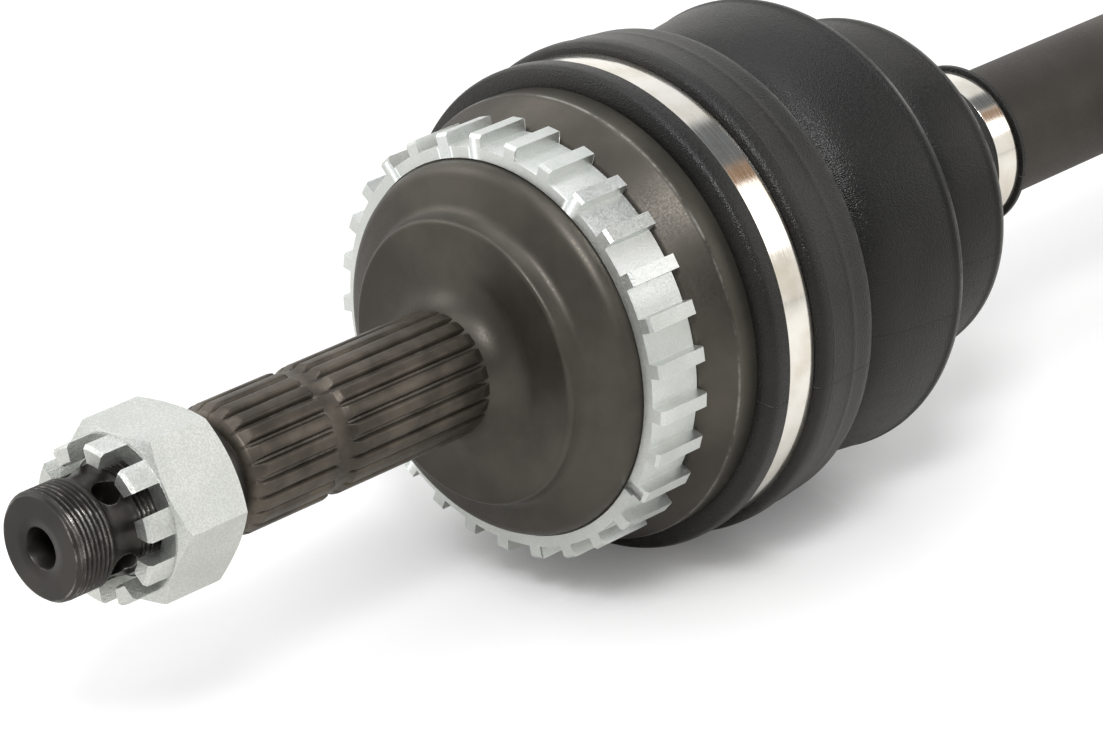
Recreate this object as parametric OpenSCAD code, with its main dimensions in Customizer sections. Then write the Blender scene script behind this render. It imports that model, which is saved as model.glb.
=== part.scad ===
// Front-wheel drive shaft: ball joint at the wheel end, tripod joint at the gearbox end.
// X runs along the shaft from the wheel-end face, Z is up, sizes are in millimetres.
// Angles about the shaft are measured from +Y towards +Z.

/* [Wheel-end thread] */
// Major diameter of the wheel-end thread
thread_d = 20; // [18:0.5:21]
// Pitch of the thread
thread_pitch = 1; // [0.8:0.1:1.5]
// Depth of the thread grooves
thread_depth = 0.6; // [0.4:0.05:0.8]
// Length of the short thread in front of the neck
tip_thread_l = 7.9; // [6:0.1:9]
// Chamfer on the end face
tip_chamfer = 0.7; // [0.3:0.1:1.2]
// Length of the smooth neck with the cotter hole
neck_l = 6.1; // [5:0.1:8]
// Diameter at the waist of the neck
neck_d = 18.4; // [16:0.1:19]
// Diameter of the two crossed cotter holes
cotter_d = 5; // [3:0.1:5.4]
// Direction of one cotter hole about the shaft
cotter_angle = 119; // [0:1:180]
// Diameter of the centre hole in the end face
centre_d = 7.4; // [5:0.1:9]
// Depth of the centre hole
centre_depth = 6; // [4:0.5:6.5]

/* [Castle nut] */
// Width across the flats of the nut
nut_af = 30; // [28:0.5:34]
// Distance of the crown from the end face
nut_setback = 11.8; // [10:0.1:13]
// Height of the crown
crown_h = 5.8; // [4:0.1:7]
// Height of the hexagon
hex_h = 15.4; // [12:0.1:17]
// Outer diameter of the crown
crown_d = 29.2; // [27.8:0.1:29.6]
// Inner diameter of the crown
crown_bore_d = 22.2; // [21.5:0.1:24]
// Number of slots round the crown
crown_slots = 10; // [6:2:12]
// Width of a slot
slot_w = 4.4; // [3:0.1:5]
// Direction of one slot about the shaft
slot_angle = 146.7; // [0:0.1:180]
// Direction of one flat about the shaft
flat_angle = 145.5; // [0:0.1:180]

/* [Hub spline] */
// Number of teeth on the hub spline
hub_teeth = 22; // [18:1:26]
// Diameter over the hub spline
hub_spline_d = 24.4; // [23.6:0.1:26]
// Depth of the spline teeth
hub_tooth_h = 1; // [0.7:0.05:1.3]
// Start of the spline from the end face
spline_start = 39.5; // [37:0.5:42]
// Length of the ramp at each tooth end
spline_ramp = 2.2; // [1:0.1:3]
// Start of the ring groove from the end face
groove_start = 58.7; // [52:0.1:64]
// Width of the ring groove
groove_w = 3.4; // [2:0.1:5]
// Direction of one tooth about the shaft
hub_tooth_angle = 161.7; // [0:0.1:180]

/* [Outer bell] */
// Distance from the end face to the hub shoulder
stub_l = 101; // [95:0.5:110]
// Fillet between the stub and the hub shoulder
root_fillet = 7; // [4:0.5:7.5]
// Diameter of the boss that carries the hub shoulder
boss_d = 54.6; // [50:0.2:58]
// Diameter of the seat of the tone ring
ring_seat_d = 72; // [70.6:0.2:73]
// Distance from the hub shoulder to the front of the tone ring
ring_setback = 9.4; // [8.6:0.1:11]
// Outside diameter of the bell
bell_d = 86.4; // [84.4:0.2:90]
// Distance from the hub shoulder to the rounded edge of the bell
bell_edge_x = 27; // [25:0.5:29]
// Distance from the hub shoulder to the joint centre
centre_x = 40; // [39:0.5:42]
// Distance from the joint centre to the mouth of the bell
mouth_x = 13; // [12:0.5:14]
// Depth of the groove that holds the boot
boot_groove = 0.8; // [0.4:0.1:1.2]

/* [Tone ring] */
// Number of teeth on the tone ring
ring_teeth = 29; // [24:1:32]
// Width of the tone ring along the shaft
ring_w = 11.8; // [10:0.1:12.4]
// Thickness of the band under the teeth
ring_band = 2.5; // [1.8:0.1:3]
// Height of the teeth above the band
ring_tooth_h = 2.4; // [1.4:0.1:3.4]
// Width of a tooth
ring_tooth_w = 2.7; // [2:0.1:4]
// Bevel on the front edge of each tooth
tooth_bevel = 0.55; // [0.3:0.05:0.9]
// Direction of one tooth about the shaft
ring_angle = 144.2; // [0:0.1:180]

/* [Ball joint] */
// Diameter of a ball
ball_d = 16.7; // [16:0.05:17]
// Distance of the ball centres from the joint centre
ball_pcr = 28.5; // [28:0.1:29]
// Depth clearance of a ball in its track
track_gap = 0.55; // [0.5:0.05:0.6]
// Radius of a track's cross-section
track_r = 11.2; // [11.15:0.05:11.3]
// Diameter of the sphere on the inner race
race_d = 51.24; // [50:0.1:52]
// Width of the inner race
race_w = 21; // [19:0.5:22]
// Thickness of the cage
cage_wall = 5.3; // [4.5:0.1:5.8]
// Width of the cage along the shaft
cage_w = 25.6; // [24:0.2:27]
// Length of a cage window round the cage
window_l = 18.8; // [17.4:0.1:20]

/* [Outer boot] */
// Distance from the hub shoulder to the boot's front lip
boot_x = 32; // [30:0.5:34]
// Wall of the boot
boot_wall = 2.5; // [1.8:0.1:2.6]
// Length of the outer boot
boot_l = 111.8; // [106:0.2:118]
// Height of the boot's front shoulder above the bell
boot_shoulder_h = 5; // [4.6:0.1:6]
// Width of the large clamp
clamp_w = 7.1; // [6:0.1:7.1]
// Thickness of the clamp bands
band_t = 0.6; // [0.4:0.05:0.8]
// Width of the small clamp
small_clamp_w = 6.4; // [5:0.1:6.6]

/* [Shaft bar] */
// Distance between the two joint centres
shaft_l = 410; // [360:1:600]
// Diameter of the bar
bar_d = 26.6; // [24:0.1:27]
// Diameter of the bar's necks behind the joints
bar_neck_d = 21.2; // [18:0.1:21.6]
// Diameter over the bar's splines
bar_spline_d = 24; // [22.6:0.1:24.6]
// Number of teeth on the bar's splines
bar_teeth = 24; // [20:1:28]

/* [Tripod joint] */
// Distance of the roller centres from the shaft's axis
roller_pcr = 20.5; // [20.3:0.1:21]
// Diameter of a roller
roller_d = 30; // [29:0.1:30.2]
// Width of a roller
roller_w = 10; // [9:0.1:10.2]
// Diameter of a trunnion
trunnion_d = 14.4; // [13:0.1:15]
// Diameter of a needle
needle_d = 2; // [1.8:0.1:2.2]
// Number of needles under a roller
needle_count = 24; // [18:1:24]
// Diameter of the spider's hub
spider_d = 30; // [29:0.1:30.4]
// Width of the spider's hub
spider_w = 22; // [20:0.5:23]
// Side clearance of a roller in its track
roller_play = 0.95; // [0.92:0.01:1.2]

/* [Inner housing] */
// Wall of the tri-lobed housing
housing_wall = 3.8; // [3:0.1:4.5]
// Fillet between the lobes of the housing
web_fillet = 5; // [3:0.5:6]
// Depth of the housing in front of the joint centre
housing_front = 33; // [31:0.5:34]
// Depth of the housing behind the joint centre
housing_rear = 38; // [37.5:0.5:42]
// Thickness of the housing's closed end
housing_end = 6; // [5:0.5:8]
// Diameter of the seal journal
journal_d = 40; // [36:0.5:44]
// Length of the seal journal
journal_l = 14; // [10:0.5:18]
// Number of teeth on the gearbox spline
gear_teeth = 28; // [22:1:32]
// Diameter over the gearbox spline
gear_spline_d = 25.2; // [23.5:0.1:27]
// Length of the gearbox spline
gear_spline_l = 42; // [34:0.5:50]

/* [Inner boot] */
// Length of the inner boot
inner_boot_l = 100; // [95:0.5:106]
// Thickness of the bush between the lobes and the boot
bush_t = 1.7; // [1.2:0.1:2.4]
// Length of the bush
bush_l = 14; // [12:0.5:14]

/* [Hidden] */
$fn = 96;
tiny = 0.01;
// Radial clearance of a running fit
fit = 0.05;
// Axial clearance between neighbours on the shaft
side_gap = 0.2;

// Places along the shaft
neck_end = tip_thread_l + neck_l;
nut_seat = nut_setback + crown_h;
nut_back = nut_seat + hex_h;
thread_end = nut_back + 0.6;
spline_end = stub_l - root_fillet;
ring_front = stub_l + ring_setback;
ring_back = ring_front + ring_w;
joint_x = stub_l + centre_x;
mouth = joint_x + mouth_x;
tripod_x = joint_x + shaft_l;
boot_front = stub_l + boot_x;

// Radii of the wheel-end stub and the bell
thread_r = thread_d / 2;
hub_tip_r = hub_spline_d / 2;
hub_root_r = hub_tip_r - hub_tooth_h;
boss_r = boss_d / 2;
seat_r = ring_seat_d / 2;
bell_r = bell_d / 2;
boot_seat_r = bell_r - boot_groove;
cavity_depth = 26;

// Ball joint
ball_r = ball_d / 2;
ball_count = 6;
track_shift = track_r - ball_r - track_gap;
race_r = race_d / 2;
cage_in_r = race_r + fit;
cage_out_r = cage_in_r + cage_wall;
bore_r = cage_out_r + fit;
step = 360 / ball_count;

// Boots and clamps
lip_l = 5.2;
shoulder_l = 3.6;
lip_r = bell_r + 3.9;
clamp_seat_r = bell_r + boot_wall;
shoulder_r = bell_r + boot_shoulder_h;
small_seat_r = bar_d / 2 + boot_wall * 0.8;
end_lip_l = 1.6;
end_lip_r = small_seat_r + 1.5;
outer_ear_angle = 294;
inner_ear_angle = 242;
ear_w = 8;
outer_ear_h = 4.6;
inner_ear_h = 3.6;
small_ear_h = 3;

// Bar
bar_r = bar_d / 2;
bar_neck_r = bar_neck_d / 2;
bar_tip_r = bar_spline_d / 2;
bar_root_r = bar_tip_r - 0.8;
collar_r = bar_tip_r + 0.9;
collar_w = 3;
clip_w = 1.6;
clip_depth = 1.2;
bar_start = joint_x - race_w / 2 - clip_w - 1.6;
bar_end = tripod_x + spider_w / 2 + clip_w + 1.6;
neck_reach = 34;
inner_neck_reach = 56;

// Tripod
roller_r = roller_d / 2;
trunnion_r = trunnion_d / 2;
needle_r = needle_d / 2;
needle_gap = 0.025;
needle_pcr = trunnion_r + needle_r + needle_gap;
roller_bore_r = trunnion_r + needle_d + 2 * needle_gap;
retainer_t = 1.2;
retainer_x = roller_pcr + roller_w / 2 + side_gap;
trunnion_end = retainer_x + retainer_t + 1;
track_in_r = roller_r + roller_play;
lobe_r = track_in_r + housing_wall;
housing_core_r = 21.5;
housing_waist_r = 30;
mouth_cone_r = 32;
mouth_cone_l = 26;
housing_mouth = tripod_x - housing_front;
housing_floor = tripod_x + housing_rear;
housing_back = housing_floor + housing_end;
journal_start = housing_back + 5;
journal_end = journal_start + journal_l;
gear_start = journal_end + 4;
gear_end = gear_start + gear_spline_l;
journal_r = journal_d / 2;
gear_tip_r = gear_spline_d / 2;
gear_root_r = gear_tip_r - 0.9;
bush_r = roller_pcr + lobe_r + bush_t;
inner_seat_r = bush_r + boot_wall;
inner_lip_x = housing_mouth + 16;

// A turned body from its half profile, given as [radius, x] points
module turned(profile) {
    rotate([90, 0, 90]) rotate_extrude() polygon(profile);
}

// A flat outline, drawn in the plane across the shaft, carried from x0 to x1
module carried(x0, x1) {
    translate([x0, 0, 0]) rotate([90, 0, 90]) linear_extrude(x1 - x0) children();
}

// A plain turned ring
module ring(x0, x1, r_in, r_out) {
    turned([[r_in, x0], [r_out, x0], [r_out, x1], [r_in, x1]]);
}

// Turns what points along +Z to the direction a about the shaft
module towards(a) {
    rotate([a - 90, 0, 0]) children();
}

// Outline of a spline: lands on the tip circle, narrow valleys on the root circle
module spline_outline(teeth, tip, root, angle, land = 0.56, floor_part = 0.16) {
    pitch = 360 / teeth;
    half_land = pitch * land / 2;
    half_floor = pitch * (1 - floor_part) / 2;
    polygon([for (i = [0 : teeth - 1])
        for (p = [[root, -half_floor], [tip, -half_land], [tip, half_land], [root, half_floor]])
            let (a = angle + i * pitch + p[1]) [p[0] * cos(a), p[0] * sin(a)]]);
}

// Points of a row of thread grooves from x0 to x1, as [radius, x]
function grooves(x0, x1, pitch, r, depth) =
    let (n = floor((x1 - x0) / pitch))
    [for (i = [0 : n - 1]) for (p = [[0, 0.06], [depth, 0.5], [0, 0.94]])
        [r - p[0], x0 + (i + p[1]) * pitch]];

// Quarter-wave flanks through valleys and crests, given as [x, radius]
function bellows(knots, n = 8) = [for (i = [0 : len(knots) - 2]) for (j = [0 : n - 1])
    let (a = knots[i], b = knots[i + 1], t = j / n,
        s = b[1] > a[1] ? sin(90 * t) : 1 - cos(90 * t))
    [a[0] + (b[0] - a[0]) * t, a[1] + (b[1] - a[1]) * s]];

// Stub, bell and threads as one forging, before its holes and tracks
module bell_blank() {
    turned(concat(
        [[0, 0], [thread_r - tip_chamfer, 0], [thread_r, tip_chamfer + 0.2]],
        grooves(tip_chamfer + 0.4, tip_thread_l, thread_pitch, thread_r, thread_depth),
        [[thread_r, tip_thread_l - 0.1], [neck_d / 2 + 0.3, tip_thread_l + 0.6],
            [neck_d / 2, tip_thread_l + 1.6], [neck_d / 2, neck_end - 1.6],
            [neck_d / 2 + 0.3, neck_end - 0.6], [thread_r, neck_end]],
        grooves(neck_end + 0.2, thread_end, thread_pitch, thread_r, thread_depth),
        [[thread_r, thread_end], [thread_r - thread_depth, thread_end + 0.8],
            [thread_r - thread_depth, spline_start - 0.6], [0, spline_start - 0.6]]));
}

// The splined stretch with its ring groove and ramped tooth ends
module hub_spline() {
    floor_r = hub_root_r + 0.15;
    groove_end = groove_start + groove_w;
    intersection() {
        carried(spline_start - 1, spline_end + 4)
            spline_outline(hub_teeth, hub_tip_r, hub_root_r, hub_tooth_angle);
        turned([[0, spline_start - 0.7], [hub_root_r - 1, spline_start - 0.7],
            [floor_r, spline_start], [hub_tip_r + tiny, spline_start + spline_ramp],
            [hub_tip_r + tiny, groove_start - 0.4], [floor_r - 0.05, groove_start],
            [floor_r - 0.05, groove_end], [hub_tip_r + tiny, groove_end + 1.4],
            [hub_tip_r + tiny, spline_end + 0.4], [hub_root_r - 0.4, spline_end + 3.6],
            [0, spline_end + 3.6]]);
    }
    ring(groove_start - 0.2, groove_end + 0.2, 0, floor_r);
}

// Turned outside of the bell from the end of the spline to the mouth
module bell_outside() {
    flank_x = stub_l + ring_setback;
    edge = stub_l + bell_edge_x;
    turned(concat(
        [[0, spline_end - 0.4], [hub_root_r, spline_end - 0.4]],
        [for (a = [0 : 10 : 90]) [hub_root_r + root_fillet * (1 - cos(a)),
            stub_l - root_fillet + root_fillet * sin(a)]],
        [for (a = [0 : 22.5 : 90]) [boss_r - 1 + sin(a), stub_l + 1 - cos(a)]],
        [[boss_r + 0.5, stub_l + 2.8], [boss_r + 1.2, stub_l + 3.8], [boss_r + 2.6, stub_l + 4.5],
            [seat_r - 2.4, flank_x - 3.4], [seat_r - 1.1, flank_x - 2.6],
            [seat_r - 0.3, flank_x - 1.3], [seat_r, flank_x - 0.3],
            [seat_r, ring_back], [seat_r + 2.2, ring_back + 0.1], [seat_r + 2.9, ring_back + 0.6],
            [bell_r - 0.9, edge - 0.5], [bell_r - 0.2, edge + 0.1], [bell_r, edge + 0.8],
            [bell_r, boot_front + 3.2], [boot_seat_r, boot_front + 3.6],
            [boot_seat_r, boot_front + lip_l + clamp_w + 1.6],
            [bell_r, boot_front + lip_l + clamp_w + 2],
            [bell_r, mouth - 1.2], [bell_r - 1.2, mouth], [0, mouth]]));
}

// One ball track, a stretch of a torus round the joint centre, for the ball at +Z
module track(centre_r, from, to) {
    translate([joint_x, 0, 0]) rotate([90, 0, 0]) rotate([0, 0, from])
        rotate_extrude(angle = to - from) translate([centre_r, 0]) circle(track_r);
}

module outer_bell() {
    color([0.27, 0.26, 0.24]) difference() {
        union() {
            bell_blank();
            hub_spline();
            bell_outside();
        }
        // Centre hole with a drill point
        turned([[0, -1], [centre_d / 2, -1], [centre_d / 2, centre_depth],
            [0, centre_depth + centre_d / 4]]);
        // Two crossed cotter holes
        for (a = [cotter_angle, cotter_angle + 90])
            translate([tip_thread_l + neck_l / 2 + 0.25, 0, 0]) towards(a)
                cylinder(d = cotter_d, h = 3 * thread_r, center = true);
        // Spherical bore for the cage, cut off flat at the back and opened at the mouth
        intersection() {
            translate([joint_x, 0, 0]) rotate([0, 90, 0]) sphere(bore_r);
            ring(joint_x - cavity_depth, mouth + bore_r, 0, 2 * bore_r);
        }
        turned([[0, mouth - 3], [bore_r - 4, mouth - 3], [bore_r + 0.6, mouth + tiny], [0, mouth + 1]]);
        for (i = [0 : ball_count - 1]) rotate([i * step, 0, 0])
            track(ball_pcr - track_shift, 30, 130);
    }
}

module tone_ring() {
    tip = seat_r + ring_band + ring_tooth_h;
    mid = seat_r + ring_band / 2;
    color([0.78, 0.8, 0.8]) intersection() {
        carried(ring_front, ring_back) difference() {
            union() {
                circle(seat_r + ring_band);
                for (i = [0 : ring_teeth - 1]) rotate(ring_angle + i * 360 / ring_teeth)
                    translate([mid, -ring_tooth_w / 2]) square([tip - mid, ring_tooth_w]);
            }
            circle(seat_r + fit / 2);
        }
        turned([[0, ring_front - 1], [tip - tooth_bevel - 1, ring_front - 1],
            [tip + 1, ring_front + tooth_bevel + 1], [tip + 1, ring_back + 1], [0, ring_back + 1]]);
    }
}

module castle_nut() {
    corner_r = nut_af / 2 / cos(30);
    crown_r = crown_d / 2;
    cone = (corner_r - nut_af / 2 + 0.3) * tan(30);
    color([0.8, 0.82, 0.81]) difference() {
        union() {
            intersection() {
                rotate([flat_angle + 30, 0, 0]) rotate([90, 0, 90]) translate([0, 0, nut_seat])
                    cylinder(r = corner_r, h = hex_h, $fn = 6);
                turned([[0, nut_seat], [nut_af / 2 - 0.15, nut_seat], [corner_r + 0.1, nut_seat + cone],
                    [corner_r + 0.1, nut_back - cone], [nut_af / 2 - 0.3, nut_back], [0, nut_back]]);
            }
            turned([[0, nut_setback], [crown_r - 0.6, nut_setback], [crown_r, nut_setback + 0.6],
                [crown_r, nut_seat + 1], [0, nut_seat + 1]]);
        }
        turned([[0, nut_setback - 1], [crown_bore_d / 2 + 0.6, nut_setback - 1],
            [crown_bore_d / 2 + 0.4, nut_setback], [crown_bore_d / 2, nut_setback + 0.5],
            [crown_bore_d / 2, nut_seat + 0.3], [thread_r + 0.02, nut_seat + 0.9],
            [thread_r + 0.02, nut_back - 0.6], [thread_r + 0.8, nut_back + tiny],
            [thread_r + 0.8, nut_back + 1], [0, nut_back + 1]]);
        for (i = [0 : crown_slots / 2 - 1]) towards(slot_angle + i * 360 / crown_slots)
            translate([nut_setback - 1, -slot_w / 2, -crown_r - 1])
                cube([crown_h + 0.9, slot_w, 2 * crown_r + 2]);
    }
}

module outer_inner_race() {
    half = race_w / 2;
    color([0.62, 0.62, 0.6]) difference() {
        intersection() {
            translate([joint_x, 0, 0]) rotate([0, 90, 0]) sphere(race_r);
            ring(joint_x - half, joint_x + half, 0, race_r + 1);
        }
        carried(joint_x - half - 1, joint_x + half + 1)
            spline_outline(bar_teeth, bar_tip_r + fit, bar_root_r + fit, 90);
        for (i = [0 : ball_count - 1]) rotate([i * step, 0, 0])
            track(ball_pcr + track_shift, 30, 150);
    }
}

module outer_cage() {
    half = cage_w / 2;
    window_w = ball_d + 2 * fit;
    corner = 3;
    color([0.5, 0.49, 0.47]) difference() {
        intersection() {
            translate([joint_x, 0, 0]) rotate([0, 90, 0]) difference() {
                sphere(cage_out_r);
                sphere(cage_in_r);
            }
            ring(joint_x - half, joint_x + half, 0, cage_out_r + 1);
        }
        // Windows, rounded at their corners
        for (i = [0 : ball_count - 1]) rotate([i * step, 0, 0]) translate([joint_x, 0, cage_in_r - 8]) {
            translate([-window_w / 2, -window_l / 2 + corner, 0])
                cube([window_w, window_l - 2 * corner, 16]);
            translate([-window_w / 2 + corner, -window_l / 2, 0])
                cube([window_w - 2 * corner, window_l, 16]);
            for (x = [-1, 1]) for (y = [-1, 1])
                translate([x * (window_w / 2 - corner), y * (window_l / 2 - corner), 0])
                    cylinder(r = corner, h = 16, $fn = 48);
        }
    }
}

module ball_at(i) {
    color([0.75, 0.76, 0.77]) rotate([i * step, 0, 0]) translate([joint_x, 0, ball_pcr])
        sphere(ball_r);
}

module upper_ball() {
    ball_at(0);
}

module lower_ball() {
    ball_at(ball_count / 2);
}

module side_balls() {
    for (i = [1 : ball_count - 1]) if (i != ball_count / 2) ball_at(i);
}

// Round-wire snap ring with an open gap, at x, seated in a groove of depth clip_depth
module snap_ring(x, shaft_r, proud) {
    color([0.45, 0.45, 0.46]) difference() {
        ring(x + 0.1, x + clip_w - 0.1, shaft_r - clip_depth + fit, shaft_r + proud);
        towards(60) translate([x - 1, -2, 0]) cube([clip_w + 2, 4, shaft_r + proud + 1]);
    }
}

module race_circlip() {
    snap_ring(joint_x - race_w / 2 - clip_w, bar_tip_r, 1.2);
}

module spider_circlip() {
    snap_ring(tripod_x + spider_w / 2, bar_tip_r - 0.6, 1.4);
}

module gearbox_circlip() {
    snap_ring(gear_end - 7, gear_tip_r, 0.7);
}

// Open ear that closes a clamp band, pointing to +Z
module ear(x0, x1, band_r, h) {
    carried(x0, x1) difference() {
        translate([-ear_w / 2, band_r - 0.4]) square([ear_w, h + 0.4]);
        translate([-ear_w / 2 + band_t, band_r - 1]) square([ear_w - 2 * band_t, h + 1 - band_t]);
    }
}

// Clamp band with its ear turned to the direction a
module clamp(x0, w, seat, ear_h, a) {
    out_r = seat + fit + band_t;
    color([0.86, 0.85, 0.82]) {
        union() {
            ring(x0, x0 + w, seat + fit, out_r);
            towards(a) ear(x0 + 0.8, x0 + w - 0.8, out_r, ear_h);
        }
    }
}

module outer_large_clamp() {
    clamp(boot_front + lip_l + 0.1, clamp_w - 0.2, clamp_seat_r, outer_ear_h, outer_ear_angle);
}

module outer_small_clamp() {
    clamp(boot_front + boot_l - end_lip_l - small_clamp_w + 0.1, small_clamp_w - 0.2, small_seat_r,
        small_ear_h, outer_ear_angle);
}

module inner_large_clamp() {
    clamp(inner_lip_x - 3.2 - clamp_w + 0.1, clamp_w - 0.2, inner_seat_r, inner_ear_h, inner_ear_angle);
}

module inner_small_clamp() {
    clamp(inner_lip_x - inner_boot_l + end_lip_l + 0.1, small_clamp_w - 0.2, small_seat_r, small_ear_h,
        outer_ear_angle);
}

// Outside of the outer boot behind its shoulder, as [x from the front lip, radius]
function outer_knots() = [[shoulder_l + lip_l + clamp_w, shoulder_r], [28.6, shoulder_r - 1.1],
    [33.4, bell_r - 3.7], [57.4, bell_r + 1.8], [67.5, bell_r - 10.7], [82.9, bell_r - 8.7],
    [boot_l - end_lip_l - small_clamp_w - 5, small_seat_r + 2.2]];

// Outside of the inner boot behind its shoulder, measured the same way from its large end
function inner_knots() = [[14.2, inner_seat_r + 1.4], [22, inner_seat_r + 0.4],
    [28, inner_seat_r - 9], [36, inner_seat_r - 2.4], [44, inner_seat_r - 13.5],
    [52, inner_seat_r - 7], [60, small_seat_r + 10], [68, small_seat_r + 15],
    [76, small_seat_r + 3.6], [82, small_seat_r + 6.4],
    [inner_boot_l - end_lip_l - small_clamp_w - 3, small_seat_r + 1.4]];

// Moulded bellows boot. The lip is at x = 0, the small end at x = len
module boot(knots, len, lip, first_lip, seat, bore, cuff, small_bore) {
    outside = bellows(knots);
    inside = [for (p = outside) if (p[0] > cuff + 2 && p[1] - boot_wall > small_bore + 1.6)
        [p[0] - 0.6, p[1] - boot_wall]];
    outer_line = concat(
        [[0, bore + 1.6], [0.6, lip - 0.7], [1.8, lip], [first_lip - 0.6, lip], [first_lip, lip - 0.6],
            [first_lip, seat], [first_lip + clamp_w, seat], [first_lip + clamp_w + 0.1, seat + 1]],
        outside,
        [[len - end_lip_l - small_clamp_w - 2, small_seat_r + 1.2],
            [len - end_lip_l - small_clamp_w, small_seat_r + 1], [len - end_lip_l - small_clamp_w, small_seat_r],
            [len - end_lip_l, small_seat_r], [len - end_lip_l, end_lip_r], [len - 0.4, end_lip_r],
            [len, end_lip_r - 0.4]]);
    inner_line = concat([[0, bore], [cuff, bore]], inside,
        [[len - end_lip_l - small_clamp_w - 2, small_bore], [len, small_bore]]);
    flip = [for (i = [len(inner_line) - 1 : -1 : 0]) inner_line[i]];
    turned([for (p = concat(outer_line, flip)) [p[1], p[0]]]);
}

module outer_boot() {
    color([0.16, 0.16, 0.16]) difference() {
        translate([boot_front, 0, 0])
            boot(outer_knots(), boot_l, lip_r, lip_l, clamp_seat_r, bell_r + fit,
                lip_l + clamp_w + shoulder_l + 1.2, bar_r + fit);
    }
}

module inner_boot() {
    color([0.16, 0.16, 0.16]) translate([inner_lip_x, 0, 0]) mirror([1, 0, 0])
        boot(inner_knots(), inner_boot_l, inner_seat_r + 1.4, 3.2, inner_seat_r, bush_r + fit,
            bush_l + 1.6, bar_r + fit);
}

// Main bar with both splined ends, collars, necks and clip grooves
module shaft_bar() {
    race_back = joint_x + race_w / 2;
    spider_front = tripod_x - spider_w / 2;
    color([0.3, 0.28, 0.26]) difference() {
        union() {
            carried(bar_start + 0.8, race_back) spline_outline(bar_teeth, bar_tip_r, bar_root_r, 90);
            carried(spider_front, bar_end - 0.8)
                spline_outline(bar_teeth, bar_tip_r - 0.6, bar_root_r - 0.6, 90);
            turned([[0, bar_start], [bar_root_r - 0.8, bar_start], [bar_root_r, bar_start + 0.8],
                [bar_root_r, race_back], [collar_r - 0.4, race_back], [collar_r, race_back + 0.4],
                [collar_r, race_back + collar_w], [bar_neck_r, race_back + collar_w + 3],
                [bar_neck_r, joint_x + neck_reach], [bar_r - 0.6, joint_x + neck_reach + 9],
                [bar_r, joint_x + neck_reach + 12], [bar_r, tripod_x - inner_neck_reach - 12],
                [bar_r - 0.6, tripod_x - inner_neck_reach - 9],
                [bar_neck_r, tripod_x - inner_neck_reach],
                [bar_neck_r, spider_front - collar_w - 2.5], [collar_r, spider_front - collar_w],
                [collar_r, spider_front], [bar_root_r - 0.6, spider_front],
                [bar_root_r - 0.6, bar_end - 0.8], [bar_root_r - 1.4, bar_end], [0, bar_end]]);
        }
        ring(joint_x - race_w / 2 - clip_w, joint_x - race_w / 2, bar_tip_r - clip_depth, bar_r + 2);
        ring(tripod_x + spider_w / 2, tripod_x + spider_w / 2 + clip_w,
            bar_tip_r - 0.6 - clip_depth, bar_r + 2);
    }
}

module tripod_spider() {
    hub_r = spider_d / 2;
    half = spider_w / 2;
    color([0.55, 0.55, 0.54]) difference() {
        union() {
            turned([[0, tripod_x - half], [hub_r - 2.5, tripod_x - half], [hub_r, tripod_x - half + 2.5],
                [hub_r, tripod_x + half - 2.5], [hub_r - 2.5, tripod_x + half], [0, tripod_x + half]]);
            for (a = [90, 210, 330]) towards(a) translate([tripod_x, 0, 0]) {
                cylinder(r = trunnion_r, h = trunnion_end - 0.6);
                translate([0, 0, trunnion_end - 0.6])
                    cylinder(r1 = trunnion_r, r2 = trunnion_r - 0.6, h = 0.6);
            }
        }
        carried(tripod_x - half - 1, tripod_x + half + 1)
            spline_outline(bar_teeth, bar_tip_r - 0.6 + fit, bar_root_r - 0.6 + fit, 90);
        // Grooves for the roller retainers
        for (a = [90, 210, 330]) towards(a) translate([tripod_x, 0, retainer_x]) difference() {
            cylinder(r = trunnion_r + 1, h = retainer_t);
            translate([0, 0, -1]) cylinder(r = trunnion_r - 0.7, h = retainer_t + 2);
        }
    }
}

module roller_retainers() {
    color([0.45, 0.45, 0.46]) for (a = [90, 210, 330]) towards(a)
        translate([tripod_x, 0, retainer_x + 0.05]) difference() {
            cylinder(r = roller_bore_r + 0.8, h = retainer_t - 0.1);
            translate([0, 0, -1]) cylinder(r = trunnion_r - 0.7 + fit, h = retainer_t + 2);
        }
}

// Barrel roller on the trunnion at the direction a
module roller_at(a) {
    color([0.72, 0.72, 0.7]) towards(a) translate([tripod_x, 0, roller_pcr]) difference() {
        intersection() {
            sphere(roller_r);
            translate([0, 0, -roller_w / 2]) cylinder(r = roller_r + 1, h = roller_w);
        }
        translate([0, 0, -roller_w]) cylinder(r = roller_bore_r, h = 2 * roller_w);
    }
}

module needles_at(a) {
    color([0.82, 0.82, 0.82]) towards(a) translate([tripod_x, 0, roller_pcr - roller_w / 2 + 0.3])
        for (i = [0 : needle_count - 1]) rotate([0, 0, i * 360 / needle_count])
            translate([needle_pcr, 0, 0]) cylinder(r = needle_r, h = roller_w - 0.6, $fn = 24);
}

module upper_roller() {
    roller_at(90);
}

module front_roller() {
    roller_at(210);
}

module rear_roller() {
    roller_at(330);
}

module upper_needles() {
    needles_at(90);
}

module front_needles() {
    needles_at(210);
}

module rear_needles() {
    needles_at(330);
}

// Tri-lobed outline with lobes of radius lobe round a core
module lobes(lobe, core) {
    circle(core);
    for (a = [90, 210, 330]) rotate(a) translate([roller_pcr, 0]) circle(lobe);
}

// Outside of the housing across the shaft, with filleted webs
module housing_outline() {
    offset(r = -web_fillet) offset(r = web_fillet) lobes(lobe_r, housing_waist_r);
}

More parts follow.
